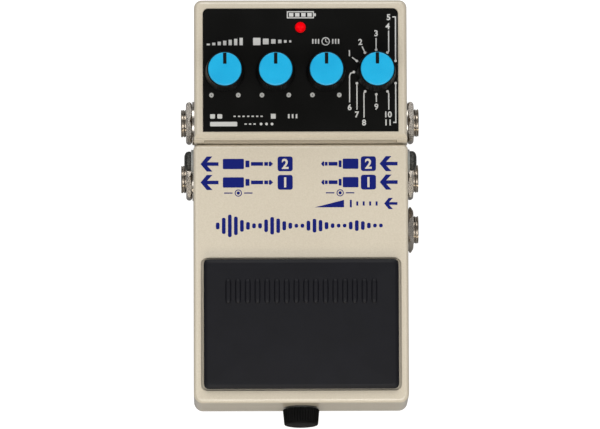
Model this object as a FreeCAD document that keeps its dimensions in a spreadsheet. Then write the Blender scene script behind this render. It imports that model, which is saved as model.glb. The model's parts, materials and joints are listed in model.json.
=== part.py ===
import FreeCAD, Part
import math
import os
import re
import Sketcher

# A digital delay pedal of the compact foot-switch kind.
# +X is the player's right, +Y runs to the back, +Z is up, and the mat rests on z = 0.
# The origin is under the middle of the length from the thumbscrew's end to the rear face.

os.makedirs("parts", exist_ok=True)
doc = FreeCAD.newDocument("digital_delay_pedal")


# The two sheets: Sizes holds the driving dimensions, Places what follows from them.
sheets = {name: doc.addObject("Spreadsheet::Sheet", name) for name in ("Sizes", "Places")}
home = {}


def full(formula):
    """The formula with each size or place preceded by the name of its sheet."""
    return re.sub(r"[a-z_]+", lambda word: home.get(word[0], "") + word[0], str(formula))


def write_cell(sheet_name, name, text):
    row = 1 + sum(1 for prefix in home.values() if prefix == sheet_name + ".")
    sheets[sheet_name].set(f"A{row}", name)
    sheets[sheet_name].set(f"B{row}", text)
    sheets[sheet_name].setAlias(f"B{row}", name)
    home[name] = sheet_name + "."


def place(name, formula):
    write_cell("Places", name, "=" + full(formula))


def number(name):
    """The present value of a size or place, for picking edges."""
    return float(sheets[home[name][:-1]].get(name))


# The driving sizes, in millimetres, with slopes and the press in degrees
sizes = {
    # Case, panel and deck
    "case_width": 66.1,
    "case_rear": 64.5,
    "panel_rear_height": 49.7,
    "top_slope": 9,
    "case_wall": 2.3,
    "panel_thickness": 2.3,
    "band_setback": 1.9,
    "case_corner": 2.4,
    "panel_edge": 1.5,
    "panel_front_gap": 2.15,
    "panel_step": 1.3,
    "panel_step_run": 0.5,
    "panel_bevel": 0.4,
    "sill_gap": 0.95,
    "running_gap": 0.5,
    "groove_gap": 0.32,
    "groove_depth": 3.6,
    "groove_rise": 1.1,
    "groove_end": 3.1,
    "groove_end_drop": 0.9,
    "deck_drop": 8.0,
    "deck_thickness": 2.0,
    "deck_side_gap": 0.5,
    "deck_front_gap": 1.7,
    "ledge_gap": 0.8,
    "ledge_thickness": 2.0,
    "ridge_radius": 3.9,
    "fit_gap": 0.02,
    "shaft_gap": 0.05,
    "cut_past": 1,
    "wall_overlap": 0.2,
    "partition_foot_gap": 0.4,
    # Treadle and its pad
    "tread_overhang": 0.3,
    "tread_length": 79.3,
    "tread_rear": 20.5,
    "tread_front_height": 28.0,
    "tread_plate": 2.4,
    "tread_front_wall": 2.2,
    "tread_edge": 1.3,
    "tread_front_corner": 2.8,
    "tread_rear_corner": 1.6,
    "skirt_thickness": 2.0,
    "skirt_front_drop": 15.2,
    "skirt_slope": 10.9,
    "lip_thickness": 1.6,
    "lip_depth": 3.5,
    "press_angle": 2.5,
    "pad_side_margin": 2.75,
    "pad_length": 40.3,
    "pad_thickness": 3.2,
    "pad_bevel": 1.2,
    "pad_corner": 1.6,
    "pad_gap": 0.5,
    "pad_front_margin": 4.1,
    "recess_depth": 1.2,
    # Pivot
    "pivot_inset": 3.8,
    "pivot_depth": 6.96,
    "pivot_shoulder_radius": 2.4,
    "pivot_thread_radius": 2.0,
    "pivot_thread_length": 7.5,
    "pivot_thread_overlap": 0.5,
    "pivot_head_radius": 3.1,
    "pivot_head_height": 2.1,
    "pivot_flange_radius": 3.6,
    "pivot_flange": 0.7,
    "pivot_barrel_radius": 3.35,
    # Thumbscrew and what it passes through
    "thumbscrew_height": 18.2,
    "thumb_radius": 5.7,
    "thumb_end_radius": 5.3,
    "thumb_length": 5.2,
    "thumb_dome": 0.6,
    "thumb_washer_radius": 3.8,
    "thumb_washer": 0.5,
    "thumb_shaft_radius": 1.6,
    "thumb_reach": 2.5,
    "insert_radius": 3.0,
    "insert_proud": 0.3,
    "bush_wall": 1.2,
    "bush_play": 0.15,
    "bush_depth": 3.4,
    "bush_rear_gap": 0.5,
    "tab_width": 12.0,
    "tab_cover": 1.3,
    # Return spring, foot switch and rubber stops
    "spring_bay_gap": 0.3,
    "spring_radius": 4.0,
    "spring_wire": 0.9,
    "well_gap": 0.9,
    "well_depth": 8.0,
    "well_wall": 1.2,
    "cap_radius_gap": 0.6,
    "spring_cap_depth": 2.2,
    "spigot_depth": 1.6,
    "spigot_gap": 0.4,
    "switch_side_inset": 11.55,
    "switch_spring_setback": 7.5,
    "switch_body": 12.0,
    "switch_body_height": 4.0,
    "switch_board_drop": 7.4,
    "switch_board_margin": 0.5,
    "switch_floor": 1,
    "plunger_radius": 2.6,
    "plunger_gap": 0.2,
    "plunger_foot_gap": 0.3,
    "plunger_hole_gap": 0.4,
    "plunger_proud": 2.7,
    "actuator_radius": 2.0,
    "stop_radius": 2.2,
    "stop_side_inset": 10.85,
    "stop_gap": 0.12,
    "switch_post_radius": 2.0,
    "switch_post_gap": 0.3,
    "slab_depth": 20,
    # Bottom plate, mat and their screws
    "mat_thickness": 1.2,
    "plate_thickness": 1.2,
    "plate_inset": 0.4,
    "mat_inset": 1.5,
    "boss_radius": 3.2,
    "boss_height": 9.0,
    "boss_inset": 2.75,
    "screw_radius": 1.5,
    "screw_length": 7.0,
    "screw_head_radius": 2.6,
    "screw_head": 1.0,
    "screw_tip_gap": 0.4,
    # Knobs, potentiometers, lamp and label
    "knob_side_inset": 9.545,
    "knob_row_inset": 22.5,
    "knob_lift": 0.8,
    "knob_height": 11.0,
    "knob_skirt_radius": 6.15,
    "knob_top_radius": 5.5,
    "knob_hub_radius": 4.4,
    "knob_hub_lift": 2.6,
    "knob_rim": 0.85,
    "knob_cap_radius": 5.15,
    "knob_cap_thickness": 0.9,
    "knob_cap_proud": 0.4,
    "knob_shaft_radius": 3.0,
    "knob_shaft_grip": 7.2,
    "pot_bush_radius": 3.5,
    "pot_bush_height": 2.5,
    "pot_body": 11.0,
    "pot_body_height": 6.5,
    "pot_floor": 1,
    "shaft_foot_gap": 0.2,
    "selector_body": 12.6,
    "pot_nut_flats": 9.0,
    "pot_nut": 1.8,
    "pot_washer_radius": 5.1,
    "pot_washer": 0.4,
    "lamp_setback": 14.0,
    "lamp_radius": 1.6,
    "lamp_proud": 1.5,
    "lamp_rim": 0.35,
    "lamp_rim_height": 1,
    "label_side_margin": 2.75,
    "label_front_margin": 1.15,
    "label_rear_margin": 2.9,
    "label_thickness": 0.25,
    "label_recess": 0.35,
    "label_gap": 0.15,
    "label_corner": 1.8,
    # Plug sockets
    "plug_bore_radius": 3.2,
    "sleeve_radius": 4.4,
    "socket_washer_radius": 6.8,
    "socket_washer": 0.7,
    "socket_nut_flats": 12.5,
    "socket_nut": 2.2,
    "nut_cone_foot": 0.7,
    "nut_cone_end": 0.45,
    "sleeve_proud": 1.35,
    "socket_length": 24.0,
    "socket_width": 14.6,
    "socket_height": 11.4,
    "expression_width": 12.0,
    "expression_height": 10.0,
    "socket_end_wall": 1.6,
    "socket_cavity_radius": 4.0,
    "socket_play": 0.1,
    "contact_length": 16.8,
    "contact_width": 2.0,
    "contact_thickness": 0.35,
    "socket_b_setback": 8.35,
    "socket_board_gap": 0.62,
    "socket_a_setback": 2.0,
    "socket_a_height": 16.5,
    "expression_pitch": 15.8,
    "expression_axis_height": 13.5,
    # Boards, power socket and data port
    "board_gap": 1.2,
    "board_thickness": 1.6,
    "board_side_gap": 1.25,
    "board_front_gap": 1.0,
    "board_rear_gap": 0.7,
    "lug_width": 4.75,
    "lug_length": 6.0,
    "lug_height": 5.0,
    "lug_rear_inset": 12.5,
    "lug_front_inset": 4.4,
    "board_screw_radius": 1.2,
    "board_screw_head_radius": 2.1,
    "board_screw_head": 0.9,
    "board_screw_length": 5.0,
    "control_board_side_gap": 1.75,
    "control_board_length": 34.0,
    "control_board_shift": 1,
    "power_body_width": 9.0,
    "power_body_height": 11.0,
    "power_body_depth": 12.0,
    "power_nose_radius": 4.3,
    "power_bore_radius": 3.1,
    "power_bore_depth": 9.5,
    "power_pin_radius": 1.05,
    "power_pin_recess": 1,
    "data_offset": 15.5,
    "data_width": 7.6,
    "data_height": 2.8,
    "data_depth": 6.0,
    "data_wall": 0.35,
    "data_floor": 1,
    "data_gap": 0.2,
    "tongue_width": 5,
    "tongue_depth": 4.5,
    "tongue_thickness": 0.6,
    "nose_recess": 0.4,
    "ribbon_socket_gap": 1.15,
    "ribbon_thickness": 0.6,
    "ribbon_setback": 7.25,
    "plug_strip_height": 3.0,
    "plug_strip_depth": 4.0,
    "plug_strip_ends": 1,
    "lead_strip_height": 2.6,
    "lead_strip_width": 3.0,
    "lead_strip_depth": 3.0,
    "capacitor_radius": 3.15,
    "capacitor_height": 7,
    # Battery and its bay
    "battery_end_gap": 1.0,
    "battery_width": 26.5,
    "battery_height": 17.5,
    "battery_edge": 1.6,
    "foam_thickness": 1.0,
    "foam_inset": 2,
    "bay_gap": 0.75,
    "bay_front_gap": 3.1,
    "bay_wall": 1.6,
    "hatch_margin": 1.5,
    "snap_thickness": 3.6,
    "snap_gap": 0.2,
    "snap_inset": 1,
    "snap_drop": 5,
    "snap_height": 8.8,
    "lead_radius": 0.6,
    "lead_height": 16.0,
    "lead_bend": 3.7,
    "lead_pitch": 1.3,
    "lead_hole_gap": 0.5,
    "lead_start": 1.75,
}
for name, millimetres in sizes.items():
    write_cell("Sizes", name, str(millimetres))

# What follows from the slopes
place("slope", "tan(top_slope)")
place("slope_sin", "sin(top_slope)")
place("slope_cos", "cos(top_slope)")
place("skirt_rise", "tan(skirt_slope)")
place("ledge_rise", "tan(skirt_slope + press_angle)")
place("base", "mat_thickness + plate_thickness")


def panel_z(y):
    """Height of the panel's surface at y."""
    return f"(panel_rear_height - (case_rear - ({y})) * slope)"


def tread_z(y):
    """Height of the treadle's top surface at y."""
    return f"(tread_front_height + (({y}) - tread_front) * slope)"


def tread_under_z(y):
    """Height of the underside of the treadle's plate at y."""
    return f"({tread_z(y)} - tread_plate / slope_cos)"


def deck_z(y):
    """Height of the deck's top surface at y."""
    return f"({tread_z(y)} - deck_drop)"


def skirt_z(y):
    """Height of the skirts' lower edge at y."""
    return f"(tread_front_height - skirt_front_drop + (({y}) - tread_front) * skirt_rise)"


def ledge_z(y):
    """Height of the ledge that the skirts come down to when the treadle is pressed."""
    return f"({skirt_z('pivot_y')} - ledge_gap + (({y}) - pivot_y) * ledge_rise)"


# Places along the length
place("tread_front", "tread_rear - tread_length")
place("band_front", "tread_front + band_setback")
place("deck_front", "tread_front + tread_front_wall + deck_front_gap")
place("panel_front", "tread_rear + panel_front_gap")
place("sill_front", "tread_rear + sill_gap")
place("sill_foot", "tread_rear + running_gap")
place("groove_front", "tread_rear + groove_gap")
place("step_z", panel_z("panel_front") + " - panel_step")
place("housing_inside", "sill_foot + case_wall")
place("pivot_y", "tread_rear - pivot_inset")
place("pivot_z", tread_z("pivot_y") + " - pivot_depth")
place("bay_front", "deck_front + case_wall + bay_front_gap")
place("bay_rear", "bay_front + battery_width + 2 * bay_gap")
place("well_radius", "spring_radius + well_gap + well_wall")
place("spring_y", "bay_rear + bay_wall + spring_bay_gap + well_radius")
place("switch_y", "spring_y + switch_spring_setback")
place("knob_row_y", "case_rear - knob_row_inset")
place("knob_row_z", panel_z("knob_row_y"))
place("pad_middle_y", "tread_front + (pad_front_margin + pad_length / 2) * slope_cos")
place("pad_middle_z", tread_z("pad_middle_y"))
place("socket_b_y", "panel_front + socket_b_setback")
place("socket_a_y", "pivot_y - socket_a_setback")
place("expression_y", "socket_a_y - expression_pitch")
place("board_front", "bay_rear + bay_wall + board_front_gap")
place("board_rear", "case_rear - case_wall - board_rear_gap")

# Places across the width and up the height
place("case_half", "case_width / 2")
place("inside_half", "case_half - case_wall")
place("tread_half", "case_half + tread_overhang")
place("deck_half", "tread_half - skirt_thickness - deck_side_gap")
place("deck_inside_half", "deck_half - case_wall")
place("bay_half", "deck_inside_half - hatch_margin")
place("battery_length", "2 * (bay_half - battery_end_gap) - snap_thickness")
place("pad_half", "tread_half - pad_side_margin")
place("knob_pitch", "(case_width - 2 * knob_side_inset) / 3")
place("switch_offset", "deck_inside_half - switch_side_inset")
place("stop_offset", "deck_half - stop_side_inset")
place("control_board_half", "inside_half - control_board_side_gap")
place("board_under", "base + board_gap")
place("board_top", "board_under + board_thickness")
place("lug_x", "inside_half - lug_width / 2")
place("control_board_under", "-panel_thickness - pot_body_height - board_thickness")
place("control_board_front", "knob_row_y - control_board_under * slope_sin"
      " + (control_board_shift - control_board_length / 2) * slope_cos")
place("plug_strip_foot", "knob_row_z + (control_board_front - knob_row_y) * slope"
      " + (control_board_under - plug_strip_height) / slope_cos")
place("socket_b_height", "plug_strip_foot - socket_board_gap - socket_height / 2")
place("sleeve_end", "case_half + socket_washer + socket_nut + sleeve_proud")
place("well_floor", deck_z("spring_y") + " - well_depth")
place("spring_top", tread_under_z("spring_y") + " - spring_cap_depth - fit_gap")
place("actuator_foot", deck_z("switch_y") + " + plunger_proud + plunger_gap")
place("switch_board_top", deck_z("switch_y") + " - switch_board_drop")
place("press_drop", "(pivot_y - deck_front) * sin(press_angle)")
place("bush_top", "thumbscrew_height + thumb_shaft_radius + bush_play")
place("bush_bottom", "bush_top - 2 * (thumb_shaft_radius + bush_play) - press_drop")
place("lead_x", "(battery_length + snap_gap) / 2")
place("lead_down_y", "board_front + plug_strip_depth + wall_overlap")
place("ribbon_y", "panel_front + ribbon_setback")
place("ribbon_width", "2 * (inside_half - socket_play - socket_length - ribbon_socket_gap)")
place("switch_travel", "(pivot_y - switch_y) * sin(press_angle)")
doc.recompute()


# Objects and their placements
nodes = []
turns = {
    "up": ((1, 0, 0), 0),
    "down": ((1, 0, 0), 180),
    "right": ((0, 1, 0), 90),
    "left": ((0, 1, 0), -90),
    "back": ((1, 0, 0), -90),
    "front": ((1, 0, 0), 90),
    "sloped": ((1, 0, 0), "top_slope"),
}


def node(thing, name):
    """Names a finished sub-part and keeps it for the export."""
    thing.Label = name
    nodes.append(thing)
    return thing


def bind(thing, **formulas):
    for name, formula in formulas.items():
        thing.setExpression(name, full(formula))


def put(thing, where, towards="up", holder="Placement"):
    """Binds a placement: where is a point as three formulas, towards is where local +Z goes."""
    axis, angle = turns[towards]
    turn = FreeCAD.Rotation(FreeCAD.Vector(*axis), 9.0 if towards == "sloped" else angle)
    setattr(thing, holder, FreeCAD.Placement(FreeCAD.Vector(), turn))
    for letter, formula in zip("xyz", where):
        thing.setExpression(f"{holder}.Base.{letter}", full(formula))
    if towards == "sloped":
        thing.setExpression(f"{holder}.Rotation.Angle", full(angle))
    return thing


def on_panel(x, along="0", lift="0"):
    """A point given across the panel, up its slope from the knob row, and out of its surface."""
    return (x, f"knob_row_y + ({along}) * slope_cos - ({lift}) * slope_sin",
            f"knob_row_z + ({along}) * slope_sin + ({lift}) * slope_cos")


# Simple solids and what is made of them
def box(corner, lengths, towards="up"):
    thing = doc.addObject("Part::Box", "block")
    bind(thing, Length=lengths[0], Width=lengths[1], Height=lengths[2])
    return put(thing, corner, towards)


def cylinder(foot, radius, height, towards="up"):
    thing = doc.addObject("Part::Cylinder", "rod")
    bind(thing, Radius=radius, Height=height)
    return put(thing, foot, towards)


def cone(foot, foot_radius, end_radius, height, towards="up"):
    thing = doc.addObject("Part::Cone", "taper")
    bind(thing, Radius1=foot_radius, Radius2=end_radius, Height=height)
    return put(thing, foot, towards)


def hexagon(foot, flats, height, towards="up"):
    thing = doc.addObject("Part::Prism", "hexagon")
    thing.Polygon = 6
    bind(thing, Circumradius=f"({flats}) / sqrt(3)", Height=height)
    return put(thing, foot, towards)


def fuse(*members):
    thing = doc.addObject("Part::MultiFuse", "joined")
    thing.Shapes = list(members)
    return thing


def cut(base, *tools):
    thing = doc.addObject("Part::Cut", "cut")
    thing.Base = base
    thing.Tool = tools[0] if len(tools) == 1 else fuse(*tools)
    return thing


def common(base, tool):
    thing = doc.addObject("Part::Common", "shared")
    thing.Base = base
    thing.Tool = tool
    return thing


def group(*members):
    thing = doc.addObject("Part::Compound", "group")
    thing.Links = list(members)
    return thing


def ring(foot, outer, inner, height, towards="up"):
    return cut(cylinder(foot, outer, height, towards), cylinder(foot, inner, height, towards))


# Bodies, sketches and features
def new_body():
    return doc.addObject("PartDesign::Body", "body")


def sketch(body, plane, offset=("0", "0", "0"), towards="up"):
    """A sketch on one of the body's own origin planes, moved by offset in that plane's frame."""
    thing = body.newObject("Sketcher::SketchObject", "sketch")
    origin_plane = [f for f in body.Origin.OriginFeatures if f.Role == plane + "_Plane"][0]
    thing.AttachmentSupport = [(origin_plane, "")]
    thing.MapMode = "FlatFace"
    return put(thing, offset, towards, "AttachmentOffset")


def pin_point(drawing, index, corner, point):
    """Ties a point of the sketch's geometry to two formulas, measured from the origin."""
    for kind, formula in zip(("DistanceX", "DistanceY"), point):
        row = drawing.addConstraint(Sketcher.Constraint(kind, -1, 1, index, corner, 1.0))
        drawing.setExpression(f"Constraints[{row}]", full(formula))


def outline(drawing, points):
    """A closed polygon through points, each given as two formulas."""
    first = drawing.GeometryCount
    count = len(points)
    corners = [2 * math.pi * i / count for i in range(count)]
    start = [FreeCAD.Vector(10 * math.cos(a), 10 * math.sin(a), 0) for a in corners]
    for i in range(count):
        drawing.addGeometry(Part.LineSegment(start[i], start[(i + 1) % count]))
    for i in range(count):
        following = first + (i + 1) % count
        drawing.addConstraint(Sketcher.Constraint("Coincident", first + i, 2, following, 1))
    for i, point in enumerate(points):
        pin_point(drawing, first + i, 1, point)
    return drawing


def rectangle(drawing, low, high):
    return outline(drawing, [low, (high[0], low[1]), high, (low[0], high[1])])


def circle(drawing, centre, radius):
    index = drawing.addGeometry(Part.Circle(FreeCAD.Vector(1, 1, 0), FreeCAD.Vector(0, 0, 1), 1.0))
    row = drawing.addConstraint(Sketcher.Constraint("Radius", index, 1.0))
    drawing.setExpression(f"Constraints[{row}]", full(radius))
    pin_point(drawing, index, 3, centre)
    return drawing


def swept(body, kind, drawing, length, both_ways, reverse):
    thing = body.newObject("PartDesign::" + kind, kind.lower())
    thing.Profile = drawing
    bind(thing, Length=length)
    thing.Midplane = both_ways
    thing.Reversed = reverse
    return thing


def pad(body, drawing, length, both_ways=False, reverse=False):
    return swept(body, "Pad", drawing, length, both_ways, reverse)


def pocket(body, drawing, length, both_ways=False, reverse=False):
    return swept(body, "Pocket", drawing, length, both_ways, reverse)


def turned(points, foot=("0", "0", "0"), towards="up"):
    """A body turned about its own Z from an outline of (radius, height) points."""
    body = new_body()
    drawing = outline(sketch(body, "XZ"), points)
    thing = body.newObject("PartDesign::Revolution", "revolution")
    thing.Profile = drawing
    thing.ReferenceAxis = (drawing, ["V_Axis"])
    thing.Angle = 360
    return put(body, foot, towards)


def rounded(body, chosen, radius, kind="Fillet"):
    """Rounds, or bevels, the edges of the body's present shape that chosen accepts."""
    doc.recompute()
    tip = body.Tip
    names = [f"Edge{i + 1}" for i, edge in enumerate(tip.Shape.Edges) if chosen(edge)]
    thing = body.newObject("PartDesign::" + kind, kind.lower())
    thing.Base = (tip, names)
    thing.Refine = False
    bind(thing, **{"Radius" if kind == "Fillet" else "Size": radius})
    body.Tip = thing
    return thing


def upright(edge):
    """True for a straight edge along Z."""
    ends = edge.Vertexes
    return len(ends) == 2 and math.hypot(ends[0].X - ends[1].X, ends[0].Y - ends[1].Y) < 0.001


def on_slope(height_at_rear, rear):
    """A test for edges that lie in the sloped plane through (rear, height_at_rear)."""
    def test(edge):
        middle = edge.valueAt((edge.FirstParameter + edge.LastParameter) / 2)
        points = [vertex.Point for vertex in edge.Vertexes] + [middle]
        return all(abs(height_at_rear - (rear - p.y) * number("slope") - p.z) < 0.001 for p in points)
    return test


# Main case: a wide shell with the narrower deck block standing in its front part
def main_case():
    body = new_body()
    plan = sketch(body, "XY", ("0", "0", "base"))
    rectangle(plan, ("-case_half", "band_front"), ("case_half", "case_rear"))
    pad(body, plan, "panel_rear_height")
    rounded(body, upright, "case_corner")
    over_panel = outline(sketch(body, "YZ"), [
        ("band_front - cut_past", panel_z("band_front - cut_past")),
        ("case_rear + cut_past", panel_z("case_rear + cut_past")),
        ("case_rear + cut_past", "2 * panel_rear_height"),
        ("band_front - cut_past", "2 * panel_rear_height"),
    ])
    pocket(body, over_panel, "case_width + 2 * cut_past", both_ways=True)
    rounded(body, on_slope(number("panel_rear_height"), number("case_rear")), "panel_edge")
    bevel_rear = "panel_front + panel_bevel"
    over_band = outline(sketch(body, "YZ"), [
        ("band_front - cut_past", ledge_z("band_front - cut_past")),
        ("sill_foot", ledge_z("sill_foot")),
        ("groove_front", "step_z - groove_end_drop"),
        ("sill_front", "step_z - groove_end_drop"),
        ("sill_front", "step_z"),
        ("panel_front - panel_step_run", "step_z"),
        ("panel_front", panel_z("panel_front") + " - panel_bevel"),
        (bevel_rear, panel_z(bevel_rear)),
        (bevel_rear, "2 * panel_rear_height"),
        ("band_front - cut_past", "2 * panel_rear_height"),
    ])
    pocket(body, over_band, "case_width + 2 * cut_past", both_ways=True)
    groove = outline(sketch(body, "YZ"), [
        ("groove_front - cut_past", "step_z - groove_depth"),
        ("groove_front", "step_z - groove_depth"),
        ("sill_front", "step_z - groove_depth + groove_rise"),
        ("sill_front", "step_z"),
        ("groove_front - cut_past", "step_z"),
    ])
    pocket(body, groove, "case_width - 2 * groove_end", both_ways=True)

    deck = outline(sketch(body, "YZ"), [
        ("deck_front", "base"),
        ("deck_front", deck_z("deck_front")),
        ("housing_inside", deck_z("housing_inside")),
        ("housing_inside", "base"),
    ])
    pad(body, deck, "2 * deck_half", both_ways=True)
    ridge = circle(sketch(body, "YZ"), ("pivot_y", "pivot_z"), "ridge_radius")
    pad(body, ridge, "2 * deck_half", both_ways=True)
    tab = sketch(body, "XY", ("0", "0", "base"))
    rectangle(tab, ("-tab_width / 2", "deck_front"), ("tab_width / 2", "deck_front + case_wall"))
    pad(body, tab, "bush_top + tab_cover + bush_wall - base")
    hollow_case(body)
    inner_case_walls(body)
    case_holes(body)
    return node(body, "main_case")


def hollow_case(body):
    """Opens the shell and the deck block from below."""
    under_panel = "panel_thickness / slope_cos"
    under_ledge = "ledge_thickness / cos(skirt_slope + press_angle)"
    wide = outline(sketch(body, "YZ"), [
        ("band_front + case_wall", "base - cut_past"),
        ("case_rear - case_wall", "base - cut_past"),
        ("case_rear - case_wall", panel_z("case_rear - case_wall") + " - " + under_panel),
        ("housing_inside", panel_z("housing_inside") + " - " + under_panel),
        ("housing_inside", ledge_z("housing_inside") + " - " + under_ledge),
        ("band_front + case_wall", ledge_z("band_front + case_wall") + " - " + under_ledge),
    ])
    pocket(body, wide, "2 * inside_half", both_ways=True)
    narrow = outline(sketch(body, "YZ"), [
        ("deck_front + case_wall", "base - cut_past"),
        ("deck_front + case_wall", deck_z("deck_front + case_wall") + " - deck_thickness"),
        ("housing_inside + wall_overlap", deck_z("housing_inside + wall_overlap") + " - deck_thickness"),
        ("housing_inside + wall_overlap", "base - cut_past"),
    ])
    pocket(body, narrow, "2 * deck_inside_half", both_ways=True)
    hatch = sketch(body, "XY", ("0", "0", "thumbscrew_height - thumb_washer_radius"))
    rectangle(hatch, ("-bay_half", "bay_front"), ("bay_half", "bay_rear"))
    pocket(body, hatch, "panel_rear_height", reverse=True)


def inner_case_walls(body):
    """The bay's rear wall, the screw bosses, the board lugs, the spring well and the switch posts."""
    foot = "base + partition_foot_gap"
    half = "deck_inside_half + wall_overlap"
    partition = sketch(body, "XY", ("0", "0", foot))
    rectangle(partition, (f"-({half})", "bay_rear"), (half, "bay_rear + bay_wall"))
    pad(body, partition, deck_z("bay_rear") + f" - deck_thickness / 2 - ({foot})")
    bosses = sketch(body, "XY", ("0", "0", "base"))
    for x, y in boss_places():
        circle(bosses, (x, y), "boss_radius")
    pad(body, bosses, "boss_height")
    lugs = sketch(body, "XY", ("0", "0", "board_top"))
    for side in ("-1", "1"):
        for y in lug_places():
            near = (f"{side} * (inside_half - lug_width)", f"{y} - lug_length / 2")
            far = (f"{side} * (inside_half + wall_overlap)", f"{y} + lug_length / 2")
            rectangle(lugs, near, far)
    pad(body, lugs, "lug_height")
    well = sketch(body, "XY", ("0", "0", "well_floor - well_wall"))
    circle(well, ("0", "spring_y"), "well_radius")
    pad(body, well, "well_depth + well_wall - deck_thickness / 2")
    posts = sketch(body, "XY", ("0", "0", "switch_board_top"))
    for x in switch_post_places():
        circle(posts, (x, "switch_y"), "switch_post_radius")
    pad(body, posts, "switch_board_drop - deck_thickness / 2")


def boss_places():
    front = "band_front + case_wall + boss_inset"
    rear = "case_rear - case_wall - boss_inset"
    return [(f"{side} * (inside_half - boss_inset)", y) for side in ("-1", "1") for y in (front, rear)]


def lug_places():
    return ["board_front + lug_front_inset", "case_rear - lug_rear_inset"]


def switch_post_places():
    reach = "(switch_body / 2 + switch_post_radius + switch_post_gap)"
    return [f"-switch_offset - {reach}", f"-switch_offset + {reach}"]


def case_holes(body):
    """Everything bored into the case: screws, sockets, controls, lamp, bush, spring and switch."""
    threads = sketch(body, "XY", ("0", "0", "base"))
    for x, y in boss_places():
        circle(threads, (x, y), "screw_radius + fit_gap")
    pocket(body, threads, "screw_length", reverse=True)
    taps = sketch(body, "XY", ("0", "0", "board_top"))
    for side in ("-1", "1"):
        for y in lug_places():
            circle(taps, (f"{side} * lug_x", y), "board_screw_radius + fit_gap")
    pocket(body, taps, "board_screw_length - board_thickness", reverse=True)
    post_taps = sketch(body, "XY", ("0", "0", "switch_board_top"))
    for x in switch_post_places():
        circle(post_taps, (x, "switch_y"), "board_screw_radius + fit_gap")
    pocket(body, post_taps, "board_screw_length - board_thickness", reverse=True)

    both_sides = sketch(body, "YZ")
    circle(both_sides, ("socket_b_y", "socket_b_height"), "sleeve_radius + socket_play")
    circle(both_sides, ("socket_a_y", "socket_a_height"), "sleeve_radius + socket_play")
    pocket(body, both_sides, "case_width + 2 * cut_past", both_ways=True)
    right_side = sketch(body, "YZ")
    circle(right_side, ("expression_y", "expression_axis_height"), "sleeve_radius + socket_play")
    pocket(body, right_side, "case_half + cut_past", reverse=True)
    for side, reverse in (("1", False), ("-1", True)):
        tap = sketch(body, "YZ", ("0", "0", f"{side} * (deck_half + cut_past)"))
        circle(tap, ("pivot_y", "pivot_z"), "pivot_thread_radius + fit_gap")
        pocket(body, tap, "pivot_thread_length + cut_past", reverse=reverse)

    rear = sketch(body, "XZ", ("0", "0", "-(case_rear - case_wall - cut_past)"))
    circle(rear, ("0", "board_top + power_body_height / 2"), "power_nose_radius + socket_play")
    rectangle(rear, ("-data_offset - data_width / 2 - socket_play", "board_top - data_gap"),
              ("-data_offset + data_width / 2 + socket_play", "board_top + data_height + data_gap"))
    pocket(body, rear, "case_wall + 2 * cut_past")
    slot = sketch(body, "XZ", ("0", "0", "-(deck_front - cut_past)"))
    half = "thumb_shaft_radius + bush_play + bush_wall + fit_gap"
    low = "bush_bottom - bush_wall - fit_gap"
    high = "bush_top + bush_wall + fit_gap"
    rectangle(slot, (f"-({half})", low), (half, high))
    pocket(body, slot, "bush_depth + bush_rear_gap + cut_past")

    spring = sketch(body, "XY", ("0", "0", "well_floor"))
    circle(spring, ("0", "spring_y"), "spring_radius + well_gap")
    pocket(body, spring, "2 * well_depth", reverse=True)
    switch = sketch(body, "XY", ("0", "0", "switch_board_top"))
    circle(switch, ("-switch_offset", "switch_y"), "plunger_radius + plunger_hole_gap")
    pocket(body, switch, "2 * switch_board_drop", reverse=True)
    leads = sketch(body, "XZ", ("0", "0", "-(bay_rear - cut_past)"))
    circle(leads, ("lead_x", "lead_height"), "lead_pitch + lead_radius + lead_hole_gap")
    pocket(body, leads, "bay_wall + 2 * cut_past")

    panel = sketch(body, "XY", on_panel("0"), "sloped")
    for i in range(4):
        circle(panel, (knob_x(i), "0"), "pot_bush_radius + socket_play")
    circle(panel, ("0", "lamp_setback"), "lamp_radius + socket_play")
    pocket(body, panel, "2 * panel_thickness")
    recess = label_outline(body, "label_gap")
    pocket(body, recess, "label_recess")
    rounded(body, lambda e: in_label_recess(e) and e.CenterOfMass.y > number("knob_row_y"), "label_corner")


def in_label_recess(edge):
    """True for the short upright edges in the corners of the label's recess."""
    span = edge.BoundBox
    short = span.DiagonalLength < number("label_recess") + 0.001 and len(edge.Vertexes) == 2
    return short and abs(abs(edge.CenterOfMass.x) - label_half()) < 0.3


def label_half():
    return number("case_half") - number("label_side_margin")


def knob_x(index):
    """Across place of one of the four controls, from the left."""
    return f"{index - 1.5} * knob_pitch"


def label_outline(body, gap):
    """The label's rectangle, wider by gap on every side, on the panel or on the label's own plane."""
    drawing = sketch(body, "XY", on_panel("0"), "sloped") if gap != "0" else sketch(body, "XY")
    half = f"case_half - label_side_margin + {gap}"
    low = f"(panel_front + label_front_margin - knob_row_y) / slope_cos - {gap}"
    high = f"(case_rear - label_rear_margin - knob_row_y) / slope_cos + {gap}"
    return rectangle(drawing, (f"-({half})", low), (half, high))


# Label on the panel
def control_label():
    body = new_body()
    pad(body, label_outline(body, "0"), "label_thickness")
    rounded(body, lambda e: upright(e) and e.CenterOfMass.y > 0, "label_corner - label_gap")
    holes = sketch(body, "XY", ("0", "0", "label_thickness"))
    for i in range(4):
        circle(holes, (knob_x(i), "0"), "pot_bush_radius + socket_play")
    circle(holes, ("0", "lamp_setback"), "lamp_radius + socket_play")
    pocket(body, holes, "2 * label_thickness")
    return node(put(body, on_panel("0", "0", "-label_recess"), "sloped"), "control_label")


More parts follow.
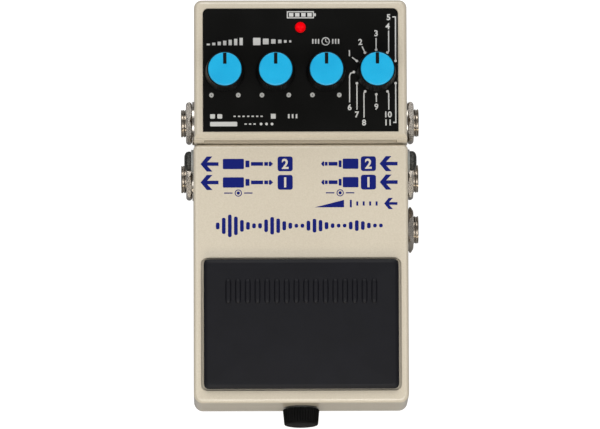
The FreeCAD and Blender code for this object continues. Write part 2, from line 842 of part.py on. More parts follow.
# Bottom plate, mat and screws
def bottom_sheet(name, low, thickness, inset, hole_radius):
    body = new_body()
    half = f"(case_half - {inset})"
    flat = sketch(body, "XY", ("0", "0", low))
    rectangle(flat, (f"-{half}", f"band_front + {inset}"), (half, f"case_rear - {inset}"))
    pad(body, flat, thickness)
    rounded(body, upright, f"case_corner - {inset} / 2")
    holes = sketch(body, "XY", ("0", "0", low))
    for x, y in boss_places():
        circle(holes, (x, y), hole_radius)
    pocket(body, holes, thickness, reverse=True)
    return node(body, name)


def bottom_screws():
    screws = []
    for x, y in boss_places():
        head = cylinder((x, y, "mat_thickness - screw_head"), "screw_head_radius", "screw_head")
        shank = cylinder((x, y, "mat_thickness"), "screw_radius",
                         "screw_length + plate_thickness - screw_tip_gap")
        screws.append(fuse(head, shank))
    return node(group(*screws), "bottom_screws")


# Boards
def main_board():
    body = new_body()
    flat = sketch(body, "XY", ("0", "0", "board_under"))
    wide = "(inside_half - board_side_gap)"
    narrow = "(inside_half - 2 * boss_inset - boss_radius / 2)"
    notch = "case_rear - case_wall - 2 * boss_inset - boss_radius / 2"
    outline(flat, [
        (f"-{wide}", "board_front"),
        (wide, "board_front"),
        (wide, notch),
        (narrow, notch),
        (narrow, "board_rear"),
        (f"-{narrow}", "board_rear"),
        (f"-{narrow}", notch),
        (f"-{wide}", notch),
    ])
    pad(body, flat, "board_thickness")
    holes = sketch(body, "XY", ("0", "0", "board_under"))
    for side in ("-1", "1"):
        for y in lug_places():
            circle(holes, (f"{side} * lug_x", y), "board_screw_radius + socket_play")
    pocket(body, holes, "board_thickness", reverse=True)
    return node(body, "main_board")


# Each chip's place across, place from the board's front edge, width, length and height:
# the processor, the memory, two converters and the switch's logic
chips = [
    ("-6", "28.9", "14", "14", "1.4"),
    ("6", "16.9", "8", "10", "1.2"),
    ("18", "64.9", "9", "7", "1.2"),
    ("-18", "62.9", "7", "7", "1.2"),
    ("-19", "18.9", "6", "8", "1.2"),
]
capacitor_places = [("8", "66.9"), ("8", "58.9"), ("-8", "62.9"), ("-2", "6.9")]


def main_board_parts():
    """The two plug strips, the chips and the round capacitors on the main board."""
    blocks = [
        ("0", "ribbon_y", "ribbon_width + 2 * plug_strip_ends", "plug_strip_depth", "plug_strip_height"),
        ("lead_x", "lead_down_y", "lead_strip_width", "lead_strip_depth", "lead_strip_height"),
    ]
    blocks += [(x, f"board_front + {y}", *lengths) for x, y, *lengths in chips]
    parts = [box((f"{x} - ({width}) / 2", f"{y} - ({length}) / 2", "board_top"), (width, length, height))
             for x, y, width, length, height in blocks]
    for x, y in capacitor_places:
        foot = (x, f"board_front + {y}", "board_top")
        parts.append(cylinder(foot, "capacitor_radius", "capacitor_height"))
    return node(group(*parts), "main_board_parts")


def control_board():
    body = new_body()
    flat = sketch(body, "XY")
    low = "control_board_shift - control_board_length / 2"
    high = "control_board_shift + control_board_length / 2"
    rectangle(flat, ("-control_board_half", low), ("control_board_half", high))
    pad(body, flat, "board_thickness")
    strip = sketch(body, "XY")
    half = "ribbon_width / 2 + plug_strip_ends"
    near = "(ribbon_y - knob_row_y) / slope_cos + control_board_under * slope - plug_strip_depth / 2"
    rectangle(strip, (f"-({half})", near), (half, near + " + plug_strip_depth"))
    pad(body, strip, "plug_strip_height", reverse=True)
    return node(put(body, on_panel("0", "0", "control_board_under"), "sloped"), "control_board")


def ribbon_cable():
    """The flat cable hangs straight from the control board's strip to the main board's."""
    foot = "board_top + plug_strip_height"
    head = ("knob_row_z + (ribbon_y - knob_row_y) * slope"
            " + (control_board_under - plug_strip_height) / slope_cos - ribbon_thickness * slope")
    corner = ("-ribbon_width / 2", "ribbon_y - ribbon_thickness / 2", foot)
    return node(box(corner, ("ribbon_width", "ribbon_thickness", f"{head} - ({foot})")), "ribbon_cable")


def board_screws():
    screws = []
    spots = [(f"{side} * lug_x", y, "board_under") for side in ("-1", "1") for y in lug_places()]
    spots += [(x, "switch_y", "switch_board_top - board_thickness") for x in switch_post_places()]
    for x, y, z in spots:
        head = cylinder((x, y, f"{z} - board_screw_head"), "board_screw_head_radius", "board_screw_head")
        shank = cylinder((x, y, z), "board_screw_radius", "board_screw_length - screw_tip_gap")
        screws.append(fuse(head, shank))
    return node(group(*screws), "board_screws")


# Controls: a potentiometer or selector under the panel, a shaft, a knob and its cap
def control_below(name, index, body_size):
    body = new_body()
    block = sketch(body, "XY", ("0", "0", "-panel_thickness"))
    half = body_size + " / 2"
    rectangle(block, ("-" + half, "-" + half), (half, half))
    pad(body, block, "pot_body_height", reverse=True)
    neck = sketch(body, "XY", ("0", "0", "-panel_thickness"))
    circle(neck, ("0", "0"), "pot_bush_radius")
    pad(body, neck, "panel_thickness + pot_bush_height")
    bore = sketch(body, "XY", ("0", "0", "pot_bush_height"))
    circle(bore, ("0", "0"), "knob_shaft_radius + shaft_gap")
    pocket(body, bore, "pot_bush_height + panel_thickness + pot_body_height - pot_floor")
    return node(put(body, on_panel(knob_x(index)), "sloped"), name)


def pot_washers():
    foot = "label_thickness - label_recess"
    rings = [ring(on_panel(knob_x(i), "0", foot), "pot_washer_radius", "pot_bush_radius + fit_gap",
                  "pot_washer", "sloped") for i in range(4)]
    return node(group(*rings), "pot_washers")


def pot_nuts():
    foot = "label_thickness - label_recess + pot_washer"
    nuts = []
    for i in range(4):
        where = on_panel(knob_x(i), "0", foot)
        hole = cylinder(where, "pot_bush_radius + fit_gap", "pot_nut", "sloped")
        nuts.append(cut(hexagon(where, "pot_nut_flats", "pot_nut", "sloped"), hole))
    return node(group(*nuts), "pot_nuts")


def knob_shaft(name, index):
    foot = "-panel_thickness - pot_body_height + pot_floor + shaft_foot_gap"
    height = f"knob_lift + knob_hub_lift + knob_shaft_grip - ({foot})"
    rod = cylinder(on_panel(knob_x(index), "0", foot), "knob_shaft_radius", height, "sloped")
    return node(rod, name)


def knob(name, index):
    """Hollow skirt with a hub inside that grips the shaft, and a seat for the cap on top."""
    top = "knob_height"
    seat = "knob_height - knob_cap_thickness + knob_cap_proud"
    roof = "knob_hub_lift + knob_shaft_grip"
    points = [
        ("knob_skirt_radius", "0"),
        ("knob_top_radius", top),
        ("knob_cap_radius + fit_gap", top),
        ("knob_cap_radius + fit_gap", seat),
        ("0", seat),
        ("0", roof),
        ("knob_shaft_radius + fit_gap", roof),
        ("knob_shaft_radius + fit_gap", "knob_hub_lift"),
        ("knob_hub_radius", "knob_hub_lift"),
        ("knob_skirt_radius - knob_rim", "knob_hub_lift"),
        ("knob_skirt_radius - knob_rim", "0"),
    ]
    return node(turned(points, on_panel(knob_x(index), "0", "knob_lift"), "sloped"), name)


def knob_cap(name, index):
    foot = "knob_lift + knob_height - knob_cap_thickness + knob_cap_proud"
    points = [
        ("0", "0"),
        ("knob_cap_radius", "0"),
        ("knob_cap_radius", "knob_cap_thickness"),
        ("0", "knob_cap_thickness"),
    ]
    body = turned(points, on_panel(knob_x(index), "0", foot), "sloped")
    rim = number("knob_cap_radius")
    top = number("knob_cap_thickness")

    def top_edge(edge):
        corner = edge.Vertexes[0].Point
        return abs(corner.z - top) < 0.001 and abs(math.hypot(corner.x, corner.y) - rim) < 0.001

    rounded(body, top_edge, "knob_cap_proud")
    return node(body, name)


def check_led():
    """The lamp: a rim below, and a round end in shares of the radius across and down from the top."""
    foot = "-panel_thickness - pot_body_height"
    end = [(1, 0.7), (0.92, 0.35), (0.6, 0.1), (0, 0)]
    points = [
        ("0", "0"),
        ("lamp_radius + lamp_rim", "0"),
        ("lamp_radius + lamp_rim", "lamp_rim_height"),
        ("lamp_radius", "lamp_rim_height"),
    ]
    points += [(f"lamp_radius * {out}", f"lamp_proud - lamp_radius * {down} - ({foot})") for out, down in end]
    return node(turned(points, on_panel("0", "lamp_setback", foot), "sloped"), "check_led")


# Plug sockets: housing, contacts, sleeve, washer and nut on one sideways axis
sockets = [
    ("output_b_jack", "left", "socket_b_y", "socket_b_height"),
    ("output_a_jack", "left", "socket_a_y", "socket_a_height"),
    ("input_b_jack", "right", "socket_b_y", "socket_b_height"),
    ("input_a_jack", "right", "socket_a_y", "socket_a_height"),
    ("expression_jack", "right", "expression_y", "expression_axis_height"),
]
signs = {"left": "-1", "right": "1"}


def socket_span(side, near, far):
    """Low x and length of what reaches from near to far, both measured outwards from the middle."""
    low = far if side == "left" else near
    return f"{signs[side]} * ({low})", f"({far}) - ({near})"


def jack_housing(name, side, y, z):
    """A box round the plug, smaller for the expression pedal's socket, with a groove for the contact."""
    kind = "expression" if name == "expression_jack" else "socket"
    width, height = kind + "_width", kind + "_height"
    near = "inside_half - socket_play - socket_length"
    far = "inside_half - socket_play"
    x, length = socket_span(side, near, far)
    block = box((x, f"{y} - {width} / 2", f"{z} - {height} / 2"), (length, width, height))
    bore_x = f"{signs[side]} * ({near} + socket_end_wall)"
    bore = cylinder((bore_x, y, z), "socket_cavity_radius", "socket_length", side)
    slot_x, slot_length = socket_span(side, near + " + socket_end_wall", far + " + cut_past")
    groove = box((slot_x, f"{y} - contact_width / 2 - fit_gap", z),
                 (slot_length, "contact_width + 2 * fit_gap", "plug_bore_radius + 3 * contact_thickness"))
    return node(cut(block, bore, groove), name)


def jack_contacts():
    strips = []
    for name, side, y, z in sockets:
        near = "inside_half - socket_play - socket_length + socket_end_wall"
        x, length = socket_span(side, near, near + " + contact_length")
        corner = (x, f"{y} - contact_width / 2", f"{z} + plug_bore_radius + 2 * contact_thickness")
        strips.append(box(corner, (length, "contact_width", "contact_thickness")))
    return node(group(*strips), "jack_contacts")


def jack_sleeves():
    tubes = []
    length = "sleeve_end - inside_half + socket_play"
    for name, side, y, z in sockets:
        foot = (f"{signs[side]} * (inside_half - socket_play)", y, z)
        tubes.append(ring(foot, "sleeve_radius", "plug_bore_radius", length, side))
    return node(group(*tubes), "jack_sleeves")


def jack_washers():
    rings = []
    for name, side, y, z in sockets:
        foot = (f"{signs[side]} * case_half", y, z)
        rings.append(ring(foot, "socket_washer_radius", "sleeve_radius + fit_gap", "socket_washer", side))
    return node(group(*rings), "jack_washers")


def jack_nuts():
    """Hexagon nuts whose corners are turned down by a cone at the outer face."""
    nuts = []
    for name, side, y, z in sockets:
        foot = (f"{signs[side]} * (case_half + socket_washer)", y, z)
        corner = "socket_nut_flats / sqrt(3)"
        foot_radius = corner + " + nut_cone_foot"
        end_radius = corner + " - nut_cone_end"
        turned_down = cone(foot, foot_radius, end_radius, "socket_nut", side)
        blank = common(hexagon(foot, "socket_nut_flats", "socket_nut", side), turned_down)
        nuts.append(cut(blank, cylinder(foot, "sleeve_radius + fit_gap", "socket_nut", side)))
    return node(group(*nuts), "jack_nuts")


# Power socket and data port on the main board's rear edge
def power_jack():
    body = new_body()
    nose_front = "case_rear - nose_recess"
    axis = ("0", "board_top + power_body_height / 2")
    half = "power_body_width / 2"
    block = sketch(body, "XZ", ("0", "0", "-board_rear"))
    rectangle(block, ("-" + half, "board_top"), (half, "board_top + power_body_height"))
    pad(body, block, "power_body_depth")
    nose = sketch(body, "XZ", ("0", "0", f"-({nose_front})"))
    circle(nose, axis, "power_nose_radius")
    pad(body, nose, f"{nose_front} - board_rear + cut_past")
    bore = sketch(body, "XZ", ("0", "0", f"-({nose_front} - power_bore_depth)"))
    circle(bore, axis, "power_bore_radius")
    pocket(body, bore, "power_bore_depth + cut_past")
    pin = sketch(body, "XZ", ("0", "0", f"-({nose_front} - power_pin_recess)"))
    circle(pin, axis, "power_pin_radius")
    pad(body, pin, "power_bore_depth")
    return node(body, "power_jack")


def usb_port():
    """A thin shell open to the back, with a tongue standing from its floor."""
    left = "-data_offset - data_width / 2"
    front = "case_rear - nose_recess - data_depth"
    shell = box((left, front, "board_top"), ("data_width", "data_depth", "data_height"))
    inside = (left + " + data_wall", front + " + data_floor", "board_top + data_wall")
    hollow = box(inside, ("data_width - 2 * data_wall", "data_depth", "data_height - 2 * data_wall"))
    low = ("-data_offset - tongue_width / 2", front + " + data_floor / 2", "board_top + data_height / 2")
    tongue = box(low, ("tongue_width", "tongue_depth", "tongue_thickness"))
    return node(fuse(cut(shell, hollow), tongue), "usb_port")


# Battery lying across its bay, with foam, snap and leads
def battery():
    body = new_body()
    drawing = sketch(body, "XY", ("0", "0", "base + foam_thickness"))
    low = ("-battery_length / 2 - snap_thickness / 2", "bay_front + bay_gap")
    rectangle(drawing, low, (f"{low[0]} + battery_length", f"{low[1]} + battery_width"))
    pad(body, drawing, "battery_height")
    rounded(body, upright, "battery_edge")
    return node(body, "battery")


def battery_foam():
    left = "-battery_length / 2 + foam_inset - snap_thickness / 2"
    lengths = ("battery_length - 2 * foam_inset", "battery_width - 2 * foam_inset", "foam_thickness")
    return node(box((left, "bay_front + bay_gap + foam_inset", "base"), lengths), "battery_foam")


def battery_snap():
    """The snap connector's strip over the battery's end face."""
    left = "battery_length / 2 - snap_thickness / 2 + snap_gap"
    corner = (left, "bay_front + bay_gap + snap_inset", "lead_height - snap_drop")
    lengths = ("snap_thickness - snap_gap", "battery_width - 2 * snap_inset", "snap_height")
    return node(box(corner, lengths), "battery_snap")


def battery_leads():
    leads = []
    for side in ("-1", "1"):
        x = f"lead_x + {side} * lead_pitch / 2"
        start = "bay_rear - lead_start"
        length = f"lead_down_y - lead_bend - ({start})"
        run = cylinder((x, start, "lead_height"), "lead_radius", length, "back")
        bend = doc.addObject("Part::Torus", "bend")
        bend.Angle3 = 90
        bind(bend, Radius1="lead_bend", Radius2="lead_radius")
        quarter = FreeCAD.Rotation(FreeCAD.Vector(0, 1, 0), -90)
        bend.Placement = FreeCAD.Placement(FreeCAD.Vector(), quarter)
        for letter, formula in zip("xyz", (x, "lead_down_y - lead_bend", "lead_height - lead_bend")):
            bend.setExpression(f"Placement.Base.{letter}", full(formula))
        foot = "board_top + lead_strip_height"
        drop = cylinder((x, "lead_down_y", foot), "lead_radius", f"lead_height - lead_bend - ({foot})")
        leads.append(fuse(run, bend, drop))
    return node(group(*leads), "battery_leads")


# Foot switch under the deck, and its plunger
def foot_switch():
    half = "switch_body / 2"
    block = box((f"-switch_offset - {half}", f"switch_y - {half}", "switch_board_top"),
                ("switch_body", "switch_body", "switch_body_height"))
    foot = ("-switch_offset", "switch_y", "switch_board_top + switch_floor")
    bore = cylinder(foot, "plunger_radius + 2 * shaft_gap", "switch_body_height")
    return node(cut(block, bore), "foot_switch")


def switch_board():
    reach = "(switch_body / 2 + switch_post_gap + 2 * switch_post_radius + switch_board_margin)"
    under = "switch_board_top - board_thickness"
    corner = (f"-switch_offset - {reach}", "switch_y - switch_body / 2", under)
    plate = box(corner, (f"2 * {reach}", "switch_body", "board_thickness"))
    holes = [cylinder((x, "switch_y", under), "board_screw_radius + socket_play", "board_thickness")
             for x in switch_post_places()]
    return node(cut(plate, *holes), "switch_board")


def switch_plunger():
    """A pin with a round end, given as shares of the radius across and millimetres down from the top."""
    foot = "switch_board_top + switch_floor + switch_travel + plunger_foot_gap"
    top = deck_z("switch_y") + " + plunger_proud"
    end = [(1, 0.8), (0.8, 0.3), (0.4, 0.05), (0, 0)]
    points = [("0", "0"), ("plunger_radius", "0")]
    points += [(f"plunger_radius * {out}", f"{top} - {down} - ({foot})") for out, down in end]
    return node(turned(points, ("-switch_offset", "switch_y", foot)), "switch_plunger")


# What guides and stops the treadle
def guide_bush():
    """A block in the deck's front tab with an upright slot, in which the thumbscrew's tip moves down."""
    half = "(thumb_shaft_radius + bush_play + bush_wall)"
    corner = (f"-{half}", "deck_front", "bush_bottom - bush_wall")
    block = box(corner, (f"2 * {half}", "bush_depth", "bush_top - bush_bottom + 2 * bush_wall"))
    inner = "thumb_shaft_radius + bush_play"
    start = "deck_front - cut_past"
    length = "bush_depth + 2 * cut_past"
    heights = (f"bush_top - ({inner})", f"bush_bottom + {inner}")
    ends = [cylinder(("0", start, z), inner, length, "back") for z in heights]
    middle = box((f"-({inner})", start, f"bush_bottom + {inner}"),
                 (f"2 * ({inner})", length, f"bush_top - bush_bottom - 2 * ({inner})"))
    return node(cut(block, middle, *ends), "guide_bush")


def treadle_bumpers():
    """Rubber stops on the deck, just below where the pressed treadle's plate comes."""
    y = "deck_front + case_wall + stop_radius / 2"
    foot = deck_z(y)
    gap = f"{tread_under_z(y)} - {foot}"
    sink = f"(pivot_y - ({y}) + stop_radius) * sin(press_angle) + 2 * stop_radius * slope"
    stops = []
    for x in ("-stop_offset", "stop_offset"):
        height = f"{gap} - ({sink}) - stop_gap + deck_thickness"
        peg = cylinder((x, y, f"{foot} - deck_thickness"), "stop_radius", height)
        stops.append(cut(peg, below_deck()))
    return node(group(*stops), "treadle_bumpers")


def below_deck():
    """A slab whose upper face is the deck's surface near the front."""
    return box(("-case_half", "deck_front", deck_z("deck_front") + " - slab_depth / slope_cos"),
               ("case_width", "tread_length", "slab_depth"), "sloped")


def below_tread():
    """A slab whose upper face is the underside of the treadle's plate."""
    return box(("-case_half", "tread_front", tread_under_z("tread_front") + " - slab_depth / slope_cos"),
               ("case_width", "tread_length", "slab_depth"), "sloped")


def pivot_screws():
    """Thread, shoulder and domed head; the dome is in shares of the head's height inwards and up."""
    dome = [(0, 0.6), (0.25, 0.88), (0.74, 1)]
    screws = []
    for side in ("left", "right"):
        sign = signs[side]
        start = f"{sign} * (deck_half - pivot_thread_length + pivot_thread_overlap)"
        thread = cylinder((start, "pivot_y", "pivot_z"), "pivot_thread_radius", "pivot_thread_length", side)
        seat = "tread_half + pivot_flange + shaft_gap"
        shoulder = cylinder((f"{sign} * deck_half", "pivot_y", "pivot_z"), "pivot_shoulder_radius",
                            f"{seat} - deck_half + pivot_thread_overlap", side)
        points = [("0", "0"), ("pivot_head_radius", "0")]
        points += [(f"pivot_head_radius - pivot_head_height * {inwards}", f"pivot_head_height * {up}")
                   for inwards, up in dome]
        points.append(("0", "pivot_head_height"))
        head = turned(points, (f"{sign} * ({seat})", "pivot_y", "pivot_z"), side)
        screws.append(fuse(thread, shoulder, head))
    return node(group(*screws), "pivot_screws")


def return_spring():
    """The coil spring in its plain form, a tube of the coil's own outer and inner radius."""
    inner = "spring_radius - spring_wire"
    coil = ring(("0", "spring_y", "well_floor"), "spring_radius", inner, "spring_top - well_floor")
    return node(coil, "return_spring")


# Treadle: a lid with side skirts, a front wall and a short rear lip
def treadle():
    body = new_body()
    side = outline(sketch(body, "YZ"), [
        ("tread_front", skirt_z("tread_front")),
        ("tread_rear", skirt_z("tread_rear")),
        ("tread_rear", tread_z("tread_rear")),
        ("tread_front", "tread_front_height"),
    ])
    pad(body, side, "2 * tread_half", both_ways=True)
    rounded(body, lambda e: upright(e) and e.CenterOfMass.y < 0, "tread_front_corner")
    rounded(body, lambda e: upright(e) and e.CenterOfMass.y > number("pivot_y"), "tread_rear_corner")
    top = on_slope(number("tread_front_height"), number("tread_front"))
    rounded(body, top, "tread_edge")

    inside = outline(sketch(body, "YZ"), [
        ("tread_front + tread_front_wall", "base"),
        ("tread_front + tread_front_wall", tread_under_z("tread_front + tread_front_wall")),
        ("tread_rear - lip_thickness", tread_under_z("tread_rear - lip_thickness")),
        ("tread_rear - lip_thickness", tread_z("tread_rear") + " - lip_depth"),
        ("tread_rear + cut_past", tread_z("tread_rear") + " - lip_depth"),
        ("tread_rear + cut_past", "base"),
    ])
    pocket(body, inside, "2 * (tread_half - skirt_thickness)", both_ways=True)
    recess = sketch(body, "XY", ("0", "pad_middle_y", "pad_middle_z"), "sloped")
    half = ("pad_half + pad_gap", "pad_length / 2 + pad_gap")
    rectangle(recess, (f"-({half[0]})", f"-({half[1]})"), half)
    pocket(body, recess, "recess_depth")
    rounded(body, in_pad_recess, "pad_corner + pad_gap")
    pivots = circle(sketch(body, "YZ"), ("pivot_y", "pivot_z"), "pivot_barrel_radius + fit_gap")
    pocket(body, pivots, "2 * (tread_half + cut_past)", both_ways=True)
    insert = sketch(body, "XZ", ("0", "0", "-(tread_front - cut_past)"))
    circle(insert, ("0", "thumbscrew_height"), "insert_radius + fit_gap")
    pocket(body, insert, "tread_front_wall + 2 * cut_past")
    return node(body, "treadle")


def in_pad_recess(edge):
    """True for the short upright edges in the corners of the pad's recess."""
    short = edge.BoundBox.DiagonalLength < number("recess_depth") + 0.001 and len(edge.Vertexes) == 2
    corner = number("pad_half") + number("pad_gap")
    return short and abs(abs(edge.CenterOfMass.x) - corner) < 0.01


def treadle_pad():
    body = new_body()
    flat = sketch(body, "XY")
    rectangle(flat, ("-pad_half", "-pad_length / 2"), ("pad_half", "pad_length / 2"))
    pad(body, flat, "pad_thickness")
    rounded(body, upright, "pad_corner")
    thickness = number("pad_thickness")
    rounded(body, lambda e: e.BoundBox.ZMin > thickness - 0.001, "pad_bevel", "Chamfer")
    where = ("0", "pad_middle_y + recess_depth * slope_sin", "pad_middle_z - recess_depth * slope_cos")
    return node(put(body, where, "sloped"), "treadle_pad")


def pivot_bushes():
    """Flanged light bushes in the treadle's skirts, which turn on the pivot screws."""
    bushes = []
    for side in ("left", "right"):
        sign = signs[side]
        inner = "tread_half - skirt_thickness - deck_side_gap / 2"
        seat = (f"{sign} * ({inner})", "pivot_y", "pivot_z")
        barrel = cylinder(seat, "pivot_barrel_radius", f"tread_half - ({inner})", side)
        outside = (f"{sign} * tread_half", "pivot_y", "pivot_z")
        flange = cylinder(outside, "pivot_flange_radius", "pivot_flange", side)
        start = (f"{sign} * ({inner} - cut_past)", "pivot_y", "pivot_z")
        bore = cylinder(start, "pivot_shoulder_radius + shaft_gap", "tread_half", side)
        bushes.append(cut(fuse(barrel, flange), bore))
    return node(group(*bushes), "pivot_bushes")


def spring_cap():
    """Moulded cap under the treadle's plate, with a spigot that centres the spring."""
    foot = "spring_top + fit_gap"
    disc = cylinder(("0", "spring_y", foot), "spring_radius + cap_radius_gap", "spring_cap_depth * 2")
    spigot = cylinder(("0", "spring_y", f"{foot} - spigot_depth"), "spring_radius - spring_wire - spigot_gap",
                      "spigot_depth")
    return node(fuse(common(disc, below_tread()), spigot), "spring_cap")


def switch_actuator():
    """Peg under the treadle's plate that pushes the foot switch's plunger."""
    peg = cylinder(("-switch_offset", "switch_y", "actuator_foot"), "actuator_radius", "deck_drop")
    return node(common(peg, below_tread()), "switch_actuator")


# Thumbscrew: a threaded insert in the treadle's front wall, a washer, and the ribbed screw
def thumbscrew_insert():
    where = ("0", "tread_front", "thumbscrew_height")
    length = "tread_front_wall + insert_proud"
    tube = ring(where, "insert_radius", "thumb_shaft_radius + shaft_gap", length, "back")
    return node(tube, "thumbscrew_insert")


def thumbscrew_washer():
    where = ("0", "tread_front - thumb_washer", "thumbscrew_height")
    bore = "thumb_shaft_radius + 3 * shaft_gap"
    return node(ring(where, "thumb_washer_radius", bore, "thumb_washer", "back"), "thumbscrew_washer")


def thumbscrew_knob():
    """The head, with a domed end in shares of its radius across and of the dome's height down."""
    bore = "thumb_shaft_radius + fit_gap"
    end = [(1, 1), (0.8, 0.3), (0.45, 0), (0, 0)]
    points = [(bore, "0"), ("thumb_radius", "0")]
    points += [(f"thumb_end_radius * {out}", f"thumb_length - thumb_dome * {down}") for out, down in end]
    points += [("0", "thumb_length / 2"), (bore, "thumb_length / 2")]
    where = ("0", "tread_front - thumb_washer", "thumbscrew_height")
    return node(turned(points, where, "front"), "thumbscrew_knob")


def thumbscrew_shaft():
    start = "tread_front - thumb_washer - thumb_length / 2"
    length = f"deck_front + thumb_reach - ({start})"
    rod = cylinder(("0", start, "thumbscrew_height"), "thumb_shaft_radius", length, "back")
    return node(rod, "thumbscrew_shaft")


main_case()
control_label()
bottom_sheet("bottom_plate", "mat_thickness", "plate_thickness", "plate_inset", "screw_radius + 0.2")
bottom_sheet("bottom_mat", "0", "mat_thickness", "mat_inset", "screw_head_radius + 0.3")
bottom_screws()
main_board()
main_board_parts()
control_board()
ribbon_cable()
board_screws()
for order, (control, body_name, body_size) in enumerate([
        ("level", "level_pot", "pot_body"),
        ("feedback", "feedback_pot", "pot_body"),
        ("time", "time_pot", "pot_body"),
        ("mode", "mode_selector", "selector_body")]):
    control_below(body_name, order, body_size)
    knob_shaft(control + "_shaft", order)
    knob(control + "_knob", order)
    knob_cap(control + "_cap", order)
pot_washers()
pot_nuts()
check_led()
for socket in sockets:
    jack_housing(*socket)
jack_contacts()
jack_sleeves()
jack_washers()
jack_nuts()
power_jack()
usb_port()
battery()
battery_foam()
battery_snap()
battery_leads()
foot_switch()
switch_board()
switch_plunger()
guide_bush()
treadle_bumpers()
pivot_screws()
return_spring()
treadle()
treadle_pad()
pivot_bushes()
spring_cap()
switch_actuator()
thumbscrew_insert()
thumbscrew_washer()
thumbscrew_knob()
thumbscrew_shaft()

# Every object must be sound, and every cut must take something away, before anything is written.
doc.recompute()
faults = [thing.Name for thing in doc.Objects if {"Invalid", "Error"} & set(thing.State)]
for thing in doc.Objects:
    if thing.TypeId == "PartDesign::Pocket":
        before = thing.BaseFeature.Shape.Volume
        if thing.Shape.Volume > before - 0.01:
            faults.append(thing.Name + " cuts nothing")
for thing in nodes:
    if thing.Shape.isNull() or not thing.Shape.isValid() or not thing.Shape.Solids:
        faults.append(thing.Label + " has no sound shape")
if faults:
    raise SystemExit("faults: " + ", ".join(faults))
for thing in nodes:
    thing.Shape.exportStep(f"parts/{thing.Label}.step")
print(len(nodes), "parts written")
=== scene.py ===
import json

import bmesh
import bpy
import numpy as np
from mathutils import Matrix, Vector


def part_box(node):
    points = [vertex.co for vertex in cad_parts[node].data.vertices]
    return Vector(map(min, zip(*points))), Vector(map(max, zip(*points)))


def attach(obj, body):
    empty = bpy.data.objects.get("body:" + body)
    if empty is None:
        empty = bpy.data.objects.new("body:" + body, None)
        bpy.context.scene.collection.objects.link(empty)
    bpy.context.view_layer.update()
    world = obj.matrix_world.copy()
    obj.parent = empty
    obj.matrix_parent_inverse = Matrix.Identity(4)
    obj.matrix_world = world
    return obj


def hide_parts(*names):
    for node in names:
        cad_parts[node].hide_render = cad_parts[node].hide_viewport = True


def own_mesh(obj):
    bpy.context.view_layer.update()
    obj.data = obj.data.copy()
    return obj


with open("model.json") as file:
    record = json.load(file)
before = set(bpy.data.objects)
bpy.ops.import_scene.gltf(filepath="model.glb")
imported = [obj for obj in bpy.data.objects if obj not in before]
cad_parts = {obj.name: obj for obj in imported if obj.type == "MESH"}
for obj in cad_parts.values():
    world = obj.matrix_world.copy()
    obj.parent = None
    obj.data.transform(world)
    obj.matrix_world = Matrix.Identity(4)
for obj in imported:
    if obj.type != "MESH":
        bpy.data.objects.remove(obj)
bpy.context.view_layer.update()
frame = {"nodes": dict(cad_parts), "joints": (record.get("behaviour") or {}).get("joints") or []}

mm = 0.001


# Viewpoint. The photograph looks down on the pedal through a long lens, from almost straight above,
# leaning a little towards the front wall.
def turned_to(position, right, up, back):
    """The place and turn of a camera or light, from the directions of its own three axes."""
    turn = Matrix(np.stack([right, up, back], axis=1).tolist())
    return Matrix.Translation(position) @ turn.to_4x4()


def photograph_camera():
    """The camera's three directions follow from its elevation, its small turn to one side and its small
    roll about its own line of sight."""
    elevation = np.radians(77.5)
    turn = np.radians(-0.92)
    roll = np.radians(0.35)
    target = np.array([-0.09, 1.438, 25]) * mm
    distance = 1500 * mm
    focal_pixels = 4794.45
    picture_width = 600
    back = np.array([np.sin(turn), -np.cos(elevation), 0])
    back[2] = np.sqrt(1 - back @ back)
    right = np.cross(-back, [0, 1, 0])
    right /= np.linalg.norm(right)
    up = np.cross(back, right)
    right, up = right * np.cos(roll) - up * np.sin(roll), up * np.cos(roll) + right * np.sin(roll)
    camera = bpy.data.objects.new("photograph_camera", bpy.data.cameras.new("photograph_camera"))
    camera.data.lens = focal_pixels * camera.data.sensor_width / picture_width
    camera.data.clip_start = 0.05
    camera.data.clip_end = 20
    camera.matrix_world = turned_to(target + back * distance, right, up, back)
    bpy.context.scene.collection.objects.link(camera)
    bpy.context.scene.camera = camera


photograph_camera()
bpy.context.scene.view_settings.view_transform = "Standard"


# Studio. A white table and broad soft lights at the sides, behind and in front. None hangs straight
# overhead, because the black label would mirror it. The high front light reaches into the groove.
def add_node(tree, kind, inputs=None, **properties):
    """Adds one node. An input is a plain value, or another node's output, which is joined to it."""
    made = tree.nodes.new("ShaderNode" + kind)
    for name, value in properties.items():
        setattr(made, name, value)
    for key, value in (inputs or {}).items():
        if isinstance(value, bpy.types.NodeSocket):
            tree.links.new(value, made.inputs[key])
        else:
            made.inputs[key].default_value = value
    return made


def spread(tree, mask, low, high):
    """A value that runs from low to high as the mask runs from 0 to 1."""
    return add_node(tree, "MapRange", {"Value": mask, "To Min": low, "To Max": high}).outputs["Result"]


def worked_out(tree, operation, *values):
    """The result of one operation on up to three values."""
    return add_node(tree, "Math", dict(enumerate(values)), operation=operation).outputs["Value"]


def new_material(name):
    """An empty material, with the place on the object that its patterns are read at."""
    material = bpy.data.materials.new(name)
    material.use_nodes = True
    tree = material.node_tree
    tree.nodes.clear()
    return material, tree, add_node(tree, "TexCoord").outputs["Object"]


def surfaced(material, inputs):
    """The material with its surface shader and its output added."""
    shader = add_node(material.node_tree, "BsdfPrincipled", inputs)
    add_node(material.node_tree, "OutputMaterial", {"Surface": shader.outputs["BSDF"]})
    return material


